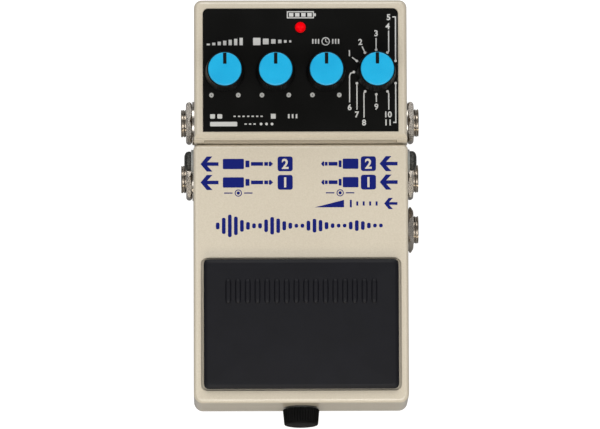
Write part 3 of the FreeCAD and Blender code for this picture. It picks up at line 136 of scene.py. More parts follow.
def white_table():
    """The camera sees a lit table, which throws less light at the pedal's sides than it seems to."""
    half = 4.0
    mesh = bpy.data.meshes.new("white_table")
    corners = [(-half, -half, 0), (half, -half, 0), (half, half, 0), (-half, half, 0)]
    mesh.from_pydata(corners, [], [(0, 1, 2, 3)])
    table = bpy.data.objects.new("white_table", mesh)
    bpy.context.scene.collection.objects.link(table)
    material, tree, place = new_material("white_table")
    cloud = add_node(tree, "TexNoise", {"Vector": place, "Scale": 14.0, "Detail": 2.0})
    seen = add_node(tree, "LightPath").outputs["Is Camera Ray"]
    mesh.materials.append(surfaced(material, {
        "Base Color": (0.35, 0.35, 0.35, 1),
        "Roughness": spread(tree, cloud.outputs["Fac"], 0.75, 0.85),
        "Specular IOR Level": 0.1,
        "Emission Color": (1, 1, 1, 1),
        "Emission Strength": worked_out(tree, "MULTIPLY", seen, 0.85),
    }))


def softbox(name, place, size, power, tint=(1, 1, 1)):
    """A square soft light, in metres and watts, turned to the middle of the pedal."""
    light = bpy.data.lights.new(name, "AREA")
    light.shape = "RECTANGLE"
    light.size, light.size_y = size
    light.energy = power
    light.color = tint
    made = bpy.data.objects.new(name, light)
    back = np.array(place) / np.linalg.norm(place)
    right = np.cross([0, 0, 1], back)
    right /= np.linalg.norm(right)
    up = np.cross(back, right)
    made.matrix_world = turned_to(place, right, up, back)
    bpy.context.scene.collection.objects.link(made)


def room_light(strength):
    world = bpy.data.worlds.new("studio")
    world.use_nodes = True
    world.node_tree.nodes["Background"].inputs["Color"].default_value = (1, 1, 1, 1)
    world.node_tree.nodes["Background"].inputs["Strength"].default_value = strength
    bpy.context.scene.world = world


white_table()
softbox("left_softbox", (-0.85, -0.25, 1.35), (0.7, 1.3), 2.6)
softbox("right_softbox", (0.85, -0.25, 1.35), (0.7, 1.3), 2.6)
softbox("rear_softbox", (0.0, 1.2, 1.3), (1.9, 0.9), 19)
softbox("front_softbox", (0.0, -1.65, 0.52), (1.6, 0.35), 9.0, (1, 0.91, 0.76))
softbox("high_front_softbox", (0.0, -0.95, 1.3), (1.6, 0.7), 14.0)
room_light(0.09)


# Case and treadle. Two aluminium castings in one warm cream enamel, sprayed and baked. The finish is
# glossy, with a faint orange peel and a fine grain in its tone.
def grain_group():
    """Two noises at a place, each about 0 to 1: a fine grain and a soft cloud."""
    group = bpy.data.node_groups.new("fine_grain", "ShaderNodeTree")
    kinds = {"Place": "Vector", "Grains per metre": "Float", "Clouds per metre": "Float"}
    for name, kind in kinds.items():
        group.interface.new_socket(name, in_out="INPUT", socket_type="NodeSocket" + kind)
    for name in ("Grain", "Cloud"):
        group.interface.new_socket(name, in_out="OUTPUT", socket_type="NodeSocketFloat")
    given = group.nodes.new("NodeGroupInput").outputs
    grain = add_node(group, "TexNoise", {
        "Vector": given["Place"], "Scale": given["Grains per metre"], "Detail": 3.0, "Roughness": 0.6})
    cloud = add_node(group, "TexNoise", {
        "Vector": given["Place"], "Scale": given["Clouds per metre"], "Detail": 1.0})
    results = group.nodes.new("NodeGroupOutput").inputs
    group.links.new(grain.outputs["Fac"], results["Grain"])
    group.links.new(cloud.outputs["Fac"], results["Cloud"])
    return group


fine_grain = grain_group()


def grain_of(tree, place, grain_size, cloud_size):
    """The fine grain group in a material, with its two sizes in metres."""
    given = {"Place": place, "Grains per metre": 1 / grain_size, "Clouds per metre": 1 / cloud_size}
    return add_node(tree, "Group", given, node_tree=fine_grain).outputs


def blended(tree, mask, dark, light):
    """A colour that runs from dark to light with the mask, from 0.3 to 0.7 where noise lies."""
    ramp = add_node(tree, "ValToRGB", {"Fac": mask})
    for element, position, tone in zip(ramp.color_ramp.elements, (0.3, 0.7), (dark, light)):
        element.position = position
        element.color = (*tone, 1)
    return ramp.outputs["Color"]


def relief(tree, height, depth, strength):
    """A bump of the given depth in metres, for the shader's normal."""
    bump = add_node(tree, "Bump", {"Height": height, "Distance": depth, "Strength": strength})
    return bump.outputs["Normal"]


def stepped(tree, value, start, end):
    """A value that is 0 up to the start of a stretch, 1 from its end, and runs evenly between."""
    stretch = {"Value": value, "From Min": start, "From Max": end}
    return add_node(tree, "MapRange", stretch).outputs["Result"]


def coordinate(tree, place, key):
    return add_node(tree, "SeparateXYZ", {"Vector": place}).outputs[key]


def dress(material, *names):
    """Gives CAD nodes their material."""
    for name in names:
        for slot in frame["nodes"][name].material_slots:
            slot.material = material


def mixed(tree, share, first, second, data_type="RGBA", **properties):
    """The first colour or value where the share is 0, and the second where it is 1."""
    given = {"Factor": share, "A": first, "B": second}
    return add_node(tree, "Mix", given, data_type=data_type, **properties).outputs["Result"]


def grained(name, tones, rough, grain_size, cloud_size, depth, finish, strength=0.5, toned_by="Cloud"):
    """A material between a dark and a light tone, told by its cloud or its grain. Its gloss and its
    relief follow the grain, and the finish holds the shader's other values."""
    material, tree, place = new_material(name)
    grain = grain_of(tree, place, grain_size, cloud_size)
    return surfaced(material, {
        "Base Color": blended(tree, grain[toned_by], *tones),
        "Roughness": spread(tree, grain["Grain"], *rough),
        "Normal": relief(tree, grain["Grain"], depth, strength),
        **finish,
    })


def cream_enamel():
    material, tree, place = new_material("cream_enamel")
    grain = grain_of(tree, place, 0.45 * mm, 9 * mm)
    peel = grain_of(tree, place, 1.4 * mm, 30 * mm)
    tone = blended(tree, grain["Grain"], (0.615, 0.548, 0.428), (0.68, 0.613, 0.492))
    shifted = blended(tree, peel["Cloud"], (0.97, 0.965, 0.96), (1, 1, 1))
    return surfaced(material, {
        "Base Color": mixed(tree, 1.0, tone, shifted, blend_type="MULTIPLY"),
        "Roughness": spread(tree, grain["Grain"], 0.34, 0.44),
        "Normal": relief(tree, peel["Grain"], 0.02 * mm, 0.6),
        "Coat Weight": 1.0,
        "Coat Roughness": 0.14,
    })


enamel = cream_enamel()
dress(enamel, "main_case", "treadle")


# Control label. A black polyester film with a fine matt face, glued into a shallow recess of the panel,
# with white marks printed on it. Plain marks and numbers stand where such a pedal has words.
knob_axes = {joint["name"]: joint for joint in frame["joints"] if joint["name"].endswith("_turn")}
panel_out = np.array(knob_axes["mode_turn"]["axis"])
panel_up = np.cross(panel_out, [1, 0, 0])
panel_frame = np.stack([[1, 0, 0], panel_up, panel_out])


def face_height(name):
    """How far a node reaches along the panel's outward direction, from the frame's origin."""
    points = np.empty(len(frame["nodes"][name].data.vertices) * 3)
    frame["nodes"][name].data.vertices.foreach_get("co", points)
    return (points.reshape(-1, 3) @ panel_out).max()


def soften(corners, radii, steps=6):
    """A closed outline with each corner rounded by the curve (1-t)(1-t)A + 2t(1-t)C + ttB, where A and B
    lie on the two edges at the corner's radius from the corner C."""
    corners = np.asarray(corners, float)
    radii = np.broadcast_to(np.asarray(radii, float), len(corners))[:, None]
    before = np.roll(corners, 1, axis=0) - corners
    after = np.roll(corners, -1, axis=0) - corners
    start = corners + before / np.linalg.norm(before, axis=1, keepdims=True) * radii
    end = corners + after / np.linalg.norm(after, axis=1, keepdims=True) * radii
    t = np.linspace(0, 1, steps)[None, :, None]
    curve = (1 - t) ** 2 * start[:, None] + 2 * t * (1 - t) * corners[:, None] + t ** 2 * end[:, None]
    return curve.reshape(-1, 2)


def block_outline(x, y, width, height, corner=0.0):
    """A rectangle about its middle, with round corners where a radius is given."""
    across, up = width / 2, height / 2
    corners = [(x - across, y - up), (x + across, y - up), (x + across, y + up), (x - across, y + up)]
    return soften(corners, corner) if corner else np.array(corners, float)


def full_turn(count):
    """Even angles round a full turn."""
    return np.linspace(0, 2 * np.pi, count, endpoint=False)


def round_path(x, y, radius, angle):
    return np.stack([x + radius * np.cos(angle), y + radius * np.sin(angle)], axis=1)


def dot_outline(x, y, radius):
    return round_path(x, y, radius, full_turn(24))


def line_outline(path, width):
    """A line of even width: each point of the path moves to both sides, along its corner's mitre."""
    path = np.asarray(path, float)
    runs = np.diff(path, axis=0)
    runs /= np.linalg.norm(runs, axis=1, keepdims=True)
    sides = np.stack([-runs[:, 1], runs[:, 0]], axis=1)
    before = np.vstack([sides[:1], sides])
    after = np.vstack([sides, sides[-1:]])
    mitre = (before + after) / (1 + (before * after).sum(1))[:, None]
    return np.vstack([path + mitre * width / 2, (path - mitre * width / 2)[::-1]])


def arc_outline(x, y, radius, width, start, end):
    """A band along an arc, its angles in degrees."""
    return line_outline(round_path(x, y, radius, np.radians(np.linspace(start, end, 20))), width)


def ring_outlines(x, y, radius, width):
    """A ring, as two half bands."""
    return [arc_outline(x, y, radius, width, 0, 180), arc_outline(x, y, radius, width, 180, 360)]


def printed(outline, low=-0.02, high=0.03):
    """The solid of one printed mark: its outline below and above the surface, in millimetres."""
    count = len(outline)
    following = np.roll(outline, -1, axis=0)
    if (outline[:, 0] * following[:, 1] - outline[:, 1] * following[:, 0]).sum() < 0:
        outline = outline[::-1]
    points = np.vstack([np.column_stack([outline, np.full(count, low)]),
                        np.column_stack([outline, np.full(count, high)])])
    first = np.arange(count)
    second = (first + 1) % count
    walls = np.stack([first, second, second + count, first + count], axis=1).tolist()
    return points, [first[::-1].tolist(), (first + count).tolist()] + walls


def numeral(text, x, y, height, low=-0.02, high=0.03):
    """A number as a solid, about its middle, from the plain built-in typeface."""
    digit_share, weight = 0.73, 0.04
    curve = bpy.data.curves.new("numeral", "FONT")
    curve.body = text
    curve.align_x = "CENTER"
    curve.align_y = "CENTER"
    curve.size = height / digit_share
    curve.offset = weight * height
    curve.extrude = (high - low) / 2
    curve.resolution_u = 4
    holder = bpy.data.objects.new("numeral", curve)
    mesh = bpy.data.meshes.new_from_object(holder)
    points = np.empty(len(mesh.vertices) * 3)
    mesh.vertices.foreach_get("co", points)
    points = points.reshape(-1, 3)
    points[:, :2] -= (points[:, :2].max(0) + points[:, :2].min(0)) / 2
    points += (x, y, (high + low) / 2)
    faces = [list(face.vertices) for face in mesh.polygons]
    bpy.data.objects.remove(holder)
    bpy.data.curves.remove(curve)
    bpy.data.meshes.remove(mesh)
    return points, faces


def laid(parts, x, y, lift):
    """Parts drawn flat in millimetres, laid on a sloping face: x and y in the flat, lift in metres."""
    origin = np.array([x, y, 0]) * mm @ panel_frame + panel_out * lift
    return [(points * mm @ panel_frame + origin, faces) for points, faces in parts]


def laid_on(node, parts, y):
    return laid(parts, 0, y, face_height(node))


def make_piece(name, parts, material, sharp=35):
    """One mesh object from parts, each an array of points in metres and its faces. Doubles are merged,
    which closes seams and poles, and the faces are turned outwards."""
    points = np.vstack([part[0] for part in parts])
    starts = np.cumsum([0] + [len(part[0]) for part in parts])
    faces = [[start + corner for corner in face] for start, part in zip(starts.tolist(), parts)
             for face in part[1]]
    mesh = bpy.data.meshes.new(name)
    mesh.from_pydata(points, [], faces)
    shape = bmesh.new()
    shape.from_mesh(mesh)
    bmesh.ops.remove_doubles(shape, verts=shape.verts, dist=0.001 * mm)
    bmesh.ops.recalc_face_normals(shape, faces=shape.faces)
    shape.to_mesh(mesh)
    shape.free()
    mesh.shade_smooth()
    mesh.set_sharp_from_angle(angle=np.radians(sharp))
    mesh.materials.append(material)
    piece = bpy.data.objects.new(name, mesh)
    bpy.context.scene.collection.objects.link(piece)
    return piece


def printing_ink(name, dark, light):
    """Screen printing ink: even in colour, a little matter than what it lies on."""
    return grained(name, (dark, light), (0.45, 0.6), 0.09 * mm, 3 * mm, 0.004 * mm,
                   {"Specular IOR Level": 0.15}, strength=0.4, toned_by="Grain")


film = grained("label_film", ((0.0044, 0.0044, 0.0040), (0.0060, 0.0060, 0.0056)), (0.22, 0.30),
               0.12 * mm, 12 * mm, 0.006 * mm, {"Specular IOR Level": 0.12})
dress(film, "control_label")
white_ink = printing_ink("white_ink", (0.56, 0.56, 0.54), (0.68, 0.68, 0.66))
grey_ink = printing_ink("grey_ink", (0.42, 0.42, 0.40), (0.52, 0.52, 0.50))

knob_names = ("level", "feedback", "time", "mode")
knob_places = {name: np.array(knob_axes[name + "_turn"]["pos_m"]) / mm for name in knob_names}
row_up = knob_places["mode"] @ panel_up


def selector_marks():
    """A dot each 30 degrees round the selector but for its right, a line from each to its number."""
    middle = knob_places["mode"][0]
    leads = [
        ("1", 150, [(-7.5, 4.65)], (-8.3, 5.9)),
        ("2", 120, [(-4.35, 8.0)], (-4.9, 9.4)),
        ("3", 90, [(0, 10.6)], (0, 12.1)),
        ("4", 60, [(3.9, 6.5), (3.9, 12.9)], (3.6, 14.3)),
        ("5", 30, [(6.05, 17.2), (5.1, 17.2)], (3.9, 17.1)),
        ("6", 180, [(-8.0, -0.4), (-8.3, -1.3), (-8.3, -9.4)], (-8.3, -10.9)),
        ("7", 210, [(-6.02, -11.7)], (-6.02, -13.2)),
        ("8", 240, [(-3.85, -6.5), (-3.85, -14.2)], (-3.85, -15.7)),
        ("9", 270, [(0, -9.3)], (0, -10.8)),
        ("10", 300, [(3.85, -6.6), (3.85, -11.7)], (3.75, -13.2)),
        ("11", 330, [(6.02, -15.7), (5.2, -15.7)], (3.6, -15.7)),
    ]
    dial_radius, dot_radius, line_width, digit_height = 6.95, 0.42, 0.36, 1.85
    marks = []
    for number, degrees, bends, number_place in leads:
        start = dial_radius * np.array([np.cos(np.radians(degrees)), np.sin(np.radians(degrees))])
        path = np.vstack([start, bends]) + (middle, 0)
        marks.append(printed(dot_outline(*path[0], dot_radius)))
        marks.append(printed(line_outline(path, line_width), high=0.025))
        marks.append(numeral(number, middle + number_place[0], number_place[1], digit_height))
    return marks


def level_mark(x, y):
    """Seven bars that grow, for loudness."""
    pitch, width, shortest, growth, drop = 1.7, 1.0, 0.5, 0.3, 1.15
    heights = [shortest + growth * step for step in range(7)]
    return [block_outline(x + (step - 3) * pitch, y - drop + height / 2, width, height)
            for step, height in enumerate(heights)]


def feedback_mark(x, y):
    """A square and its fainter repeats, for sound that is fed back."""
    first, fall, gap, corner = 2.3, 0.78, 0.75, 0.15
    sizes = first * fall ** np.arange(6)
    places = np.cumsum(sizes + gap) - sizes / 2
    places += x - places.mean()
    return [block_outline(place, y, size, size, corner) for place, size in zip(places, sizes)]


def time_mark(x, y):
    """A clock face between two rows of beats."""
    face, rim, hand, beat_width, beat_height = 1.15, 0.32, 0.28, 0.42, 1.5
    hands = [(x, y + 0.8), (x, y), (x + 0.55, y - 0.3)]
    beats = [block_outline(x + side * step, y, beat_width, beat_height)
             for side in (-1, 1) for step in (2.2, 3.1, 4.0)]
    return [*ring_outlines(x, y, face, rim), line_outline(hands, hand), *beats]


def lamp_mark(x, y):
    """A battery with four bars of charge, over the lamp that checks it."""
    edge, rail, rail_up, end, end_out = 0.3, 8.4, 0.95, 1.6, 4.05
    charge_width, charge_height, charge_pitch, first_charge = 1.35, 1.15, 1.9, 2.85
    jacket = [block_outline(x, y + side * rail_up, rail, edge) for side in (-1, 1)]
    jacket += [block_outline(x + side * end_out, y, edge, end) for side in (-1, 1)]
    stud = block_outline(x + 4.55, y, 0.5, 0.9)
    charge = [block_outline(x - first_charge + step * charge_pitch, y, charge_width, charge_height)
              for step in range(4)]
    return [*jacket, stud, *charge]


def dashes(left, y, count, pitch=1.4, width=0.7, height=0.4):
    return [block_outline(left + step * pitch, y, width, height) for step in range(count)]


def tap_marks(left, upper, lower):
    """Two rows for the foot: two short taps that stop, and one long press that sets the beat."""
    tap, press, height, corner, stop = 1.5, 8.4, 1.4, 0.3, 1.5
    row = [block_outline(left + place, upper, tap, height, corner) for place in (0.75, 3.0)]
    row += dashes(left + 7.6, upper, 7)
    row += [block_outline(left + 19.6, upper, stop, stop)]
    row += dashes(left + 24.4, upper, 3, pitch=1.2, width=0.5, height=1.3)
    row += [block_outline(left + press / 2, lower, press, height, corner)]
    row += dashes(left + 11.0, lower, 3)
    return row + [dot_outline(left + 15.8 + step * 1.7, lower, 0.42) for step in range(3)]


def label_marks():
    across = {name: place[0] for name, place in knob_places.items()}
    name_row, lamp_row = 9.6, 17.9
    outlines = [
        *level_mark(across["level"], name_row), *feedback_mark(across["feedback"], name_row),
        *time_mark(across["time"], name_row), *lamp_mark(0, lamp_row), *tap_marks(-28.1, -13.7, -16.1)]
    marks = selector_marks() + [printed(outline) for outline in outlines]
    return make_piece("label_marks", laid_on("control_label", marks, row_up), white_ink)


def end_dots():
    """The two ends of each potentiometer's turn, each a ring with a small dark middle."""
    out, row, radius, width = 4.16, -7.1, 0.44, 0.56
    marks = [printed(half) for name in knob_names[:3] for side in (-1, 1)
             for half in ring_outlines(knob_places[name][0] + side * out, row, radius, width)]
    return make_piece("end_dots", laid_on("control_label", marks, row_up), grey_ink)


for marks in (label_marks(), end_dots()):
    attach(marks, "case")


# Printing on the treadle. Navy ink on the enamel: an arrow and a plug for each socket, its number on a
# badge, and a row of bars that fades like an echo where such a pedal has its title.
navy_ink = printing_ink("navy_ink", (0.0, 0.004, 0.130), (0.001, 0.009, 0.170))
badge_ink = printing_ink("badge_ink", (0.60, 0.55, 0.46), (0.68, 0.62, 0.53))
tread_height = face_height("treadle")


def tread_up(y):
    """The place up the slope of a point on the treadle's top with the given y, all in millimetres."""
    height = tread_height / mm
    return y / panel_up[1] - height * panel_out[1] / panel_up[1]


def arrow_outline(x, y, size):
    """An arrow to the left: a tip whose two strokes end level, and a bar."""
    shape = np.array([(0, 0), (1.83, 2.23), (3.5, 2.23), (1.95, 0.53), (5.3, 0.53),
                      (5.3, -0.53), (1.95, -0.53), (3.5, -2.23), (1.83, -2.23)])
    return shape * size + (x, y)


def plug_outlines(x, y, length, height, side):
    """A plug seen from the side: grip, collar, stem and tip, pointing right for 1 and left for -1."""
    shares = [(0.0, 0.42, 1.0), (0.45, 0.53, 0.66), (0.56, 0.80, 0.36), (0.825, 0.90, 0.36)]
    corner = 0.12
    pieces = [block_outline(x + side * (start + end - 1) / 2 * length, y, (end - start) * length,
                            share * height, corner * share * height) for start, end, share in shares]
    tip = [(0.915, -0.2), (0.95, -0.24), (1.0, 0.0), (0.95, 0.24), (0.915, 0.2)]
    pieces.append(np.array([(x + side * (out - 0.5) * length, y + up * height) for out, up in tip]))
    return pieces


def echo_outlines(left, right, y, height):
    """Bars with round ends: one burst of seven heights, repeated four times at a falling loudness."""
    burst = np.array([0.30, 0.72, 1.0, 0.82, 0.52, 0.34, 0.22])
    heights = (0.78 ** np.arange(4)[:, None] * burst).ravel() * height
    width = 1.15
    places = np.linspace(left + width / 2, right - width / 2, len(heights))
    tall = np.maximum(heights, width * 1.02)
    return [block_outline(place, y, width, bar, width / 2) for place, bar in zip(places, tall)]


socket_rows = {"2": 14.5, "1": 8.75}
badge_places = (-4.85, 21.0)


def treadle_print():
    note_row, pedal_row = 5.45, 2.1
    plug_height, badge_width, badge_height, badge_corner = 3.2, 4.7, 4.6, 0.9
    outlines = [arrow_outline(x, y, 1.05) for x in (-31.1, 24.5) for y in socket_rows.values()]
    outlines += [arrow_outline(25.85, pedal_row, 0.78)]
    for y in socket_rows.values():
        outlines += plug_outlines(-16.4, y, 15.6, plug_height, 1)
        outlines += plug_outlines(12.1, y, 11.6, plug_height, -1)
        outlines += [block_outline(x, y, badge_width, badge_height, badge_corner) for x in badge_places]
    for x in (-19.4, 12.2):
        outlines += [dot_outline(x, note_row, 0.5), *ring_outlines(x, note_row, 0.98, 0.26)]
        outlines += [block_outline(x + side * 3.1, note_row, 2.6, 0.34) for side in (-1, 1)]
    low, high = pedal_row - 1.15, pedal_row + 1.15
    outlines += [np.array([(4.3, low), (13.4, low), (13.4, high)])]
    outlines += [block_outline(15.5 + 2.0 * step, pedal_row, 0.62, 2.3 if step == 0 else 1.3)
                 for step in range(5)]
    outlines += echo_outlines(-26.4, 25.4, -4.75, 7.0)
    marks = [printed(outline) for outline in outlines]
    return make_piece("treadle_print", laid_on("treadle", marks, tread_up(0)), navy_ink)


def badge_numbers():
    digit_height = 3.1
    marks = [numeral(text, x, y, digit_height, low=0.02, high=0.045)
             for text, y in socket_rows.items() for x in badge_places]
    return make_piece("badge_numbers", laid_on("treadle", marks, tread_up(0)), badge_ink)


for marks in (treadle_print(), badge_numbers()):
    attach(marks, "treadle")


# Rubber pad. A moulded mat glued into the treadle's recess, with a bevel all round and a band of raised
# grip bars across its upper half.
def dark_rubber(name, tone, grain_size):
    """Moulded rubber with a fine matt texture."""
    darker = tuple(0.8 * part for part in tone)
    return grained(name, (darker, tone), (0.42, 0.56), grain_size, 7 * mm, 0.02 * mm,
                   {"Specular IOR Level": 0.2})


pad_rubber = dark_rubber("pad_rubber", (0.0052, 0.0052, 0.0080), 0.16 * mm)


def grid_part(points, closed_columns=False):
    """A grid of points as a part: each face joins four neighbours. Closed columns go round."""
    rows, columns = points.shape[:2]
    row = np.arange(rows - 1)[:, None]
    column = np.arange(columns if closed_columns else columns - 1)[None, :]
    next_row, next_column = row + 1, (column + 1) % columns
    corners = [row * columns + column, row * columns + next_column,
               next_row * columns + next_column, next_row * columns + column]
    faces = np.stack(np.broadcast_arrays(*corners), axis=-1).reshape(-1, 4)
    return points.reshape(-1, 3), faces.tolist()


def grip_bars():
    """Each bar is the surface x = half width * s * w(t), y = half length * t, with a crowned height that
    falls to the pad at its rim."""
    count, band_left, band_right, sink = 16, -22.6, 22.6, 0.05
    middle, half_length, half_width, tall = -25.1, 3.9, 0.95, 0.55
    across = np.linspace(-1, 1, 9)[None, :]
    along = np.sin(np.linspace(-np.pi / 2, np.pi / 2, 25))[:, None]
    squared_end = np.abs(along) ** 8
    crown = tall * (1 - np.abs(across) ** 4) * (1 - squared_end) - sink
    width = half_width * (1 - 0.5 * squared_end)
    bars = []
    for x in np.linspace(band_left, band_right, count):
        axes = np.broadcast_arrays(x + width * across, middle + half_length * along, crown)
        flat = np.stack(axes, axis=-1)
        under = flat.copy()
        under[..., 2] = -sink
        bars += [grid_part(flat), grid_part(under[:, ::-1])]
    piece = make_piece("grip_bars", laid_on("treadle_pad", bars, tread_up(0)), pad_rubber)
    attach(piece, "treadle")


def box_mm(name):
    """The low and the high corner of a CAD node's box, in millimetres."""
    return [np.array(corner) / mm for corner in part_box(name)]


def treadle_mat():
    """Rows of one rounded rectangle, each set in from its edge and raised by a pair of numbers: the
    foot, the side, the shallow bevel with its soft edges, and the flat top, closed at its middle."""
    side_gap, bevel_width, bevel_drop, corner, thickness = 0.38, 1.2, 0.5, 1.7, 3.2
    low, high = box_mm("treadle_pad")
    middle_y = tread_up((low[1] + high[1]) / 2) - tread_up(0)
    half_width = high[0] - side_gap
    half_length = ((high[1] - low[1]) - thickness * abs(panel_out[1])) / panel_up[1] / 2
    rows = [(0.0, -thickness), (0.0, -bevel_drop - 0.12), (0.03, -bevel_drop - 0.04),
            (0.1, -bevel_drop + 0.03), (bevel_width - 0.1, -0.05), (bevel_width + 0.05, -0.01),
            (bevel_width + 0.2, 0.0)]
    points = []
    for inset, height in rows:
        outline = block_outline(0, middle_y, 2 * (half_width - inset), 2 * (half_length - inset), corner)
        points.append(np.column_stack([outline, np.full(len(outline), height)]))
    middle = np.array([0, middle_y, 0])
    points.insert(0, np.broadcast_to(middle + (0, 0, -thickness), points[0].shape))
    points.append(np.broadcast_to(middle, points[0].shape))
    part = grid_part(np.array(points), closed_columns=True)
    piece = make_piece("treadle_mat", laid_on("treadle_pad", [part], tread_up(0)), pad_rubber)
    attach(piece, "treadle")
    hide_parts("treadle_pad")


grip_bars()
treadle_mat()


# Control knobs. Black moulded skirts with fine ribs, wider at the foot, on the shafts of the controls.
# A blue cap is pressed into each top, with the black pointer standing through it.
def turned(radius, height, origin, axis, zero, segments):
    """A surface of revolution: origin + radius (cos a zero + sin a side) + height axis. Radius and
    height are columns of rows, or rows by segments where they change round the axis."""
    angle = full_turn(segments)
    axis, zero = np.asarray(axis, float), np.asarray(zero, float)
    around = np.cos(angle)[:, None] * zero + np.sin(angle)[:, None] * np.cross(axis, zero)
    points = origin + radius[..., None] * mm * around + height[..., None] * mm * axis
    return grid_part(points, closed_columns=True)


def black_plastic(name, rough, specular):
    tones = (0.0022, 0.0022, 0.0022), (0.0038, 0.0038, 0.0038)
    return grained(name, tones, rough, 0.1 * mm, 5 * mm, 0.01 * mm, {"Specular IOR Level": specular})


knob_black = black_plastic("black_plastic", (0.4, 0.52), 0.12)
cap_blue = grained("blue_plastic", ((0.005, 0.385, 0.70), (0.008, 0.43, 0.75)), (0.24, 0.32), 0.12 * mm,
                   6 * mm, 0.008 * mm, {"Specular IOR Level": 0.5}, strength=0.4)


def knob(name):
    """A softened section, turned. At the angle a the radius falls by ((1 - cos 44 a) / 2) ** 1.5 of the
    ribs' depth, and by less towards the foot and the top, where the moulding has a plain band."""
    ribs, per_rib, rib_depth = 44, 6, 0.16
    foot_band, foot_fade, top_band, top_fade = 0.7, 0.5, 0.55, 0.4
    foot, top, seat, inner_top, hub_foot = 0.8, 11.8, 11.3, 10.6, 3.4
    skirt, crown, cap_rim, bore, hub, hollow = 6.15, 5.5, 5.17, 3.02, 4.4, 5.3
    corners = [(skirt, foot), (crown, top), (cap_rim, top), (cap_rim, seat), (0, seat), (0, inner_top),
               (bore, inner_top), (bore, hub_foot), (hub, hub_foot), (hollow, hub_foot), (hollow, foot)]
    steps = 5
    roundings = [0.25, 0.3, 0.08, *[0] * 7, 0.1]
    section = soften(corners, roundings, steps)
    side = np.linspace(0, 1, 13)[1:-1]
    flank = np.column_stack([skirt + (crown - skirt) * side, foot + (top - foot) * side])
    section = np.vstack([section[:steps], flank, section[steps:]])
    radius, height = section[:, :1], section[:, 1:]
    angle = full_turn(ribs * per_rib)
    on_side = np.clip((height - foot - foot_band) / foot_fade, 0, 1)
    on_side = on_side * np.clip((top - top_band - height) / top_fade, 0, 1) * (radius > cap_rim + 0.05)
    ribbed = radius - on_side * rib_depth * (0.5 - 0.5 * np.cos(ribs * angle))[None, :] ** 1.5
    origin = knob_places[name] * mm
    skirt_part = turned(ribbed, height, origin, panel_out, [1, 0, 0], ribs * per_rib)
    pointer = pointer_part(cap_rim)
    parts = [skirt_part] + laid([pointer], *(origin @ panel_frame.T / mm)[:2], origin @ panel_out)
    piece = make_piece(name + "_knob_skirt", parts, knob_black)
    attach(piece, name + "_knob")
    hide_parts(name + "_knob")


def pointer_part(rim):
    """The pointer, a bar from the cap's rim inwards, with round ends, a little proud of the cap."""
    width, length, inset, corner, foot, top = 1.05, 3.4, 0.22, 0.12, 11.5, 12.17
    return printed(block_outline(0, rim - inset - length / 2, width, length, corner), low=foot, high=top)


def knob_cap(name):
    """A disc whose face is slightly domed: its height falls with the square of the radius."""
    foot, face, rim, edge, crown = 11.3, 12.12, 5.15, 0.42, 0.05
    turn = np.linspace(0, np.pi / 2, 9)
    round_edge = np.column_stack([
        rim - edge + edge * np.cos(turn), face - crown - edge + edge * np.sin(turn)])
    across = np.linspace(rim - edge, 0, 9)[1:]
    dome = np.column_stack([across, face - crown * (across / (rim - edge)) ** 2])
    shape = np.vstack([[(0, foot), (rim, foot)], round_edge, dome])
    part = turned(shape[:, :1], shape[:, 1:], knob_places[name] * mm, panel_out, [1, 0, 0], 96)
    piece = make_piece(name + "_knob_cap", [part], cap_blue)
    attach(piece, name + "_knob")
    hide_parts(name + "_cap")


for control in knob_names:
    knob(control)
    knob_cap(control)


# Lamp. A red lens of a moulded plastic, which glows, standing in a hole of the panel.
def lamp_red():
    material, tree, place = new_material("lamp_red")
    grain = grain_of(tree, place, 0.2 * mm, 2 * mm)
    return surfaced(material, {
        "Base Color": blended(tree, grain["Cloud"], (0.55, 0.0, 0.003), (0.70, 0.0, 0.006)),
        "Roughness": spread(tree, grain["Grain"], 0.14, 0.2),
        "Emission Color": blended(tree, grain["Cloud"], (0.9, 0.0, 0.001), (1.0, 0.0, 0.003)),
        "Emission Strength": 0.38,
        "Specular IOR Level": 0.1,
    })


dress(lamp_red(), "check_led")


# Controls under the panel. Three potentiometers and a selector in plated cans, each held by a washer and
# a nut on its threaded bush, and turned by a drawn aluminium shaft.
def metal(name, dark, light, rough, grain_size, cloud_size):
    """A bare or plated metal: its tone drifts in soft clouds, and a fine grain breaks up its gloss."""
    return grained(name, (dark, light), rough, grain_size, cloud_size, 0.004 * mm, {"Metallic": 1.0})


plated_steel = metal("plated_steel", (0.52, 0.51, 0.48), (0.64, 0.63, 0.60), (0.22, 0.38), 0.3 * mm,
                     4 * mm)
aluminium = metal("aluminium", (0.62, 0.62, 0.62), (0.74, 0.74, 0.74), (0.28, 0.42), 0.15 * mm, 3 * mm)
dress(plated_steel, "level_pot", "feedback_pot", "time_pot", "mode_selector", "pot_washers", "pot_nuts")
dress(aluminium, *(name + "_shaft" for name in knob_names))


# Plug sockets. Black housings inside, each with a sprung contact, and a nickel sleeve through the wall
# that a washer and a hexagon nut hold. The sleeve's thread shows past the nut.
socket_names = ("output_b", "output_a", "input_b", "input_a", "expression")
nickel = metal("nickel", (0.50, 0.46, 0.41), (0.64, 0.59, 0.53), (0.20, 0.30), 0.5 * mm, 5 * mm)
contact_brass = metal("contact_brass", (0.62, 0.47, 0.20), (0.74, 0.58, 0.27), (0.22, 0.36), 0.2 * mm,
                      3 * mm)
dress(knob_black, *(name + "_jack" for name in socket_names))
dress(nickel, "jack_washers")
dress(contact_brass, "jack_contacts")


def threaded(radius, height, pitch, depth, low, high, segments):
    """The radius falls by the depth in a helical groove: by |2 frac(h / pitch - a / 2 pi) - 1| of it,
    between the heights low and high, with a short run in at each end."""
    angle = np.linspace(0, 1, segments, endpoint=False)[None, :]
    groove = np.abs(2 * np.mod(height / pitch - angle, 1) - 1)
    run = np.clip((height - low) / pitch, 0, 1) * np.clip((high - height) / pitch, 0, 1)
    return radius - depth * groove * run


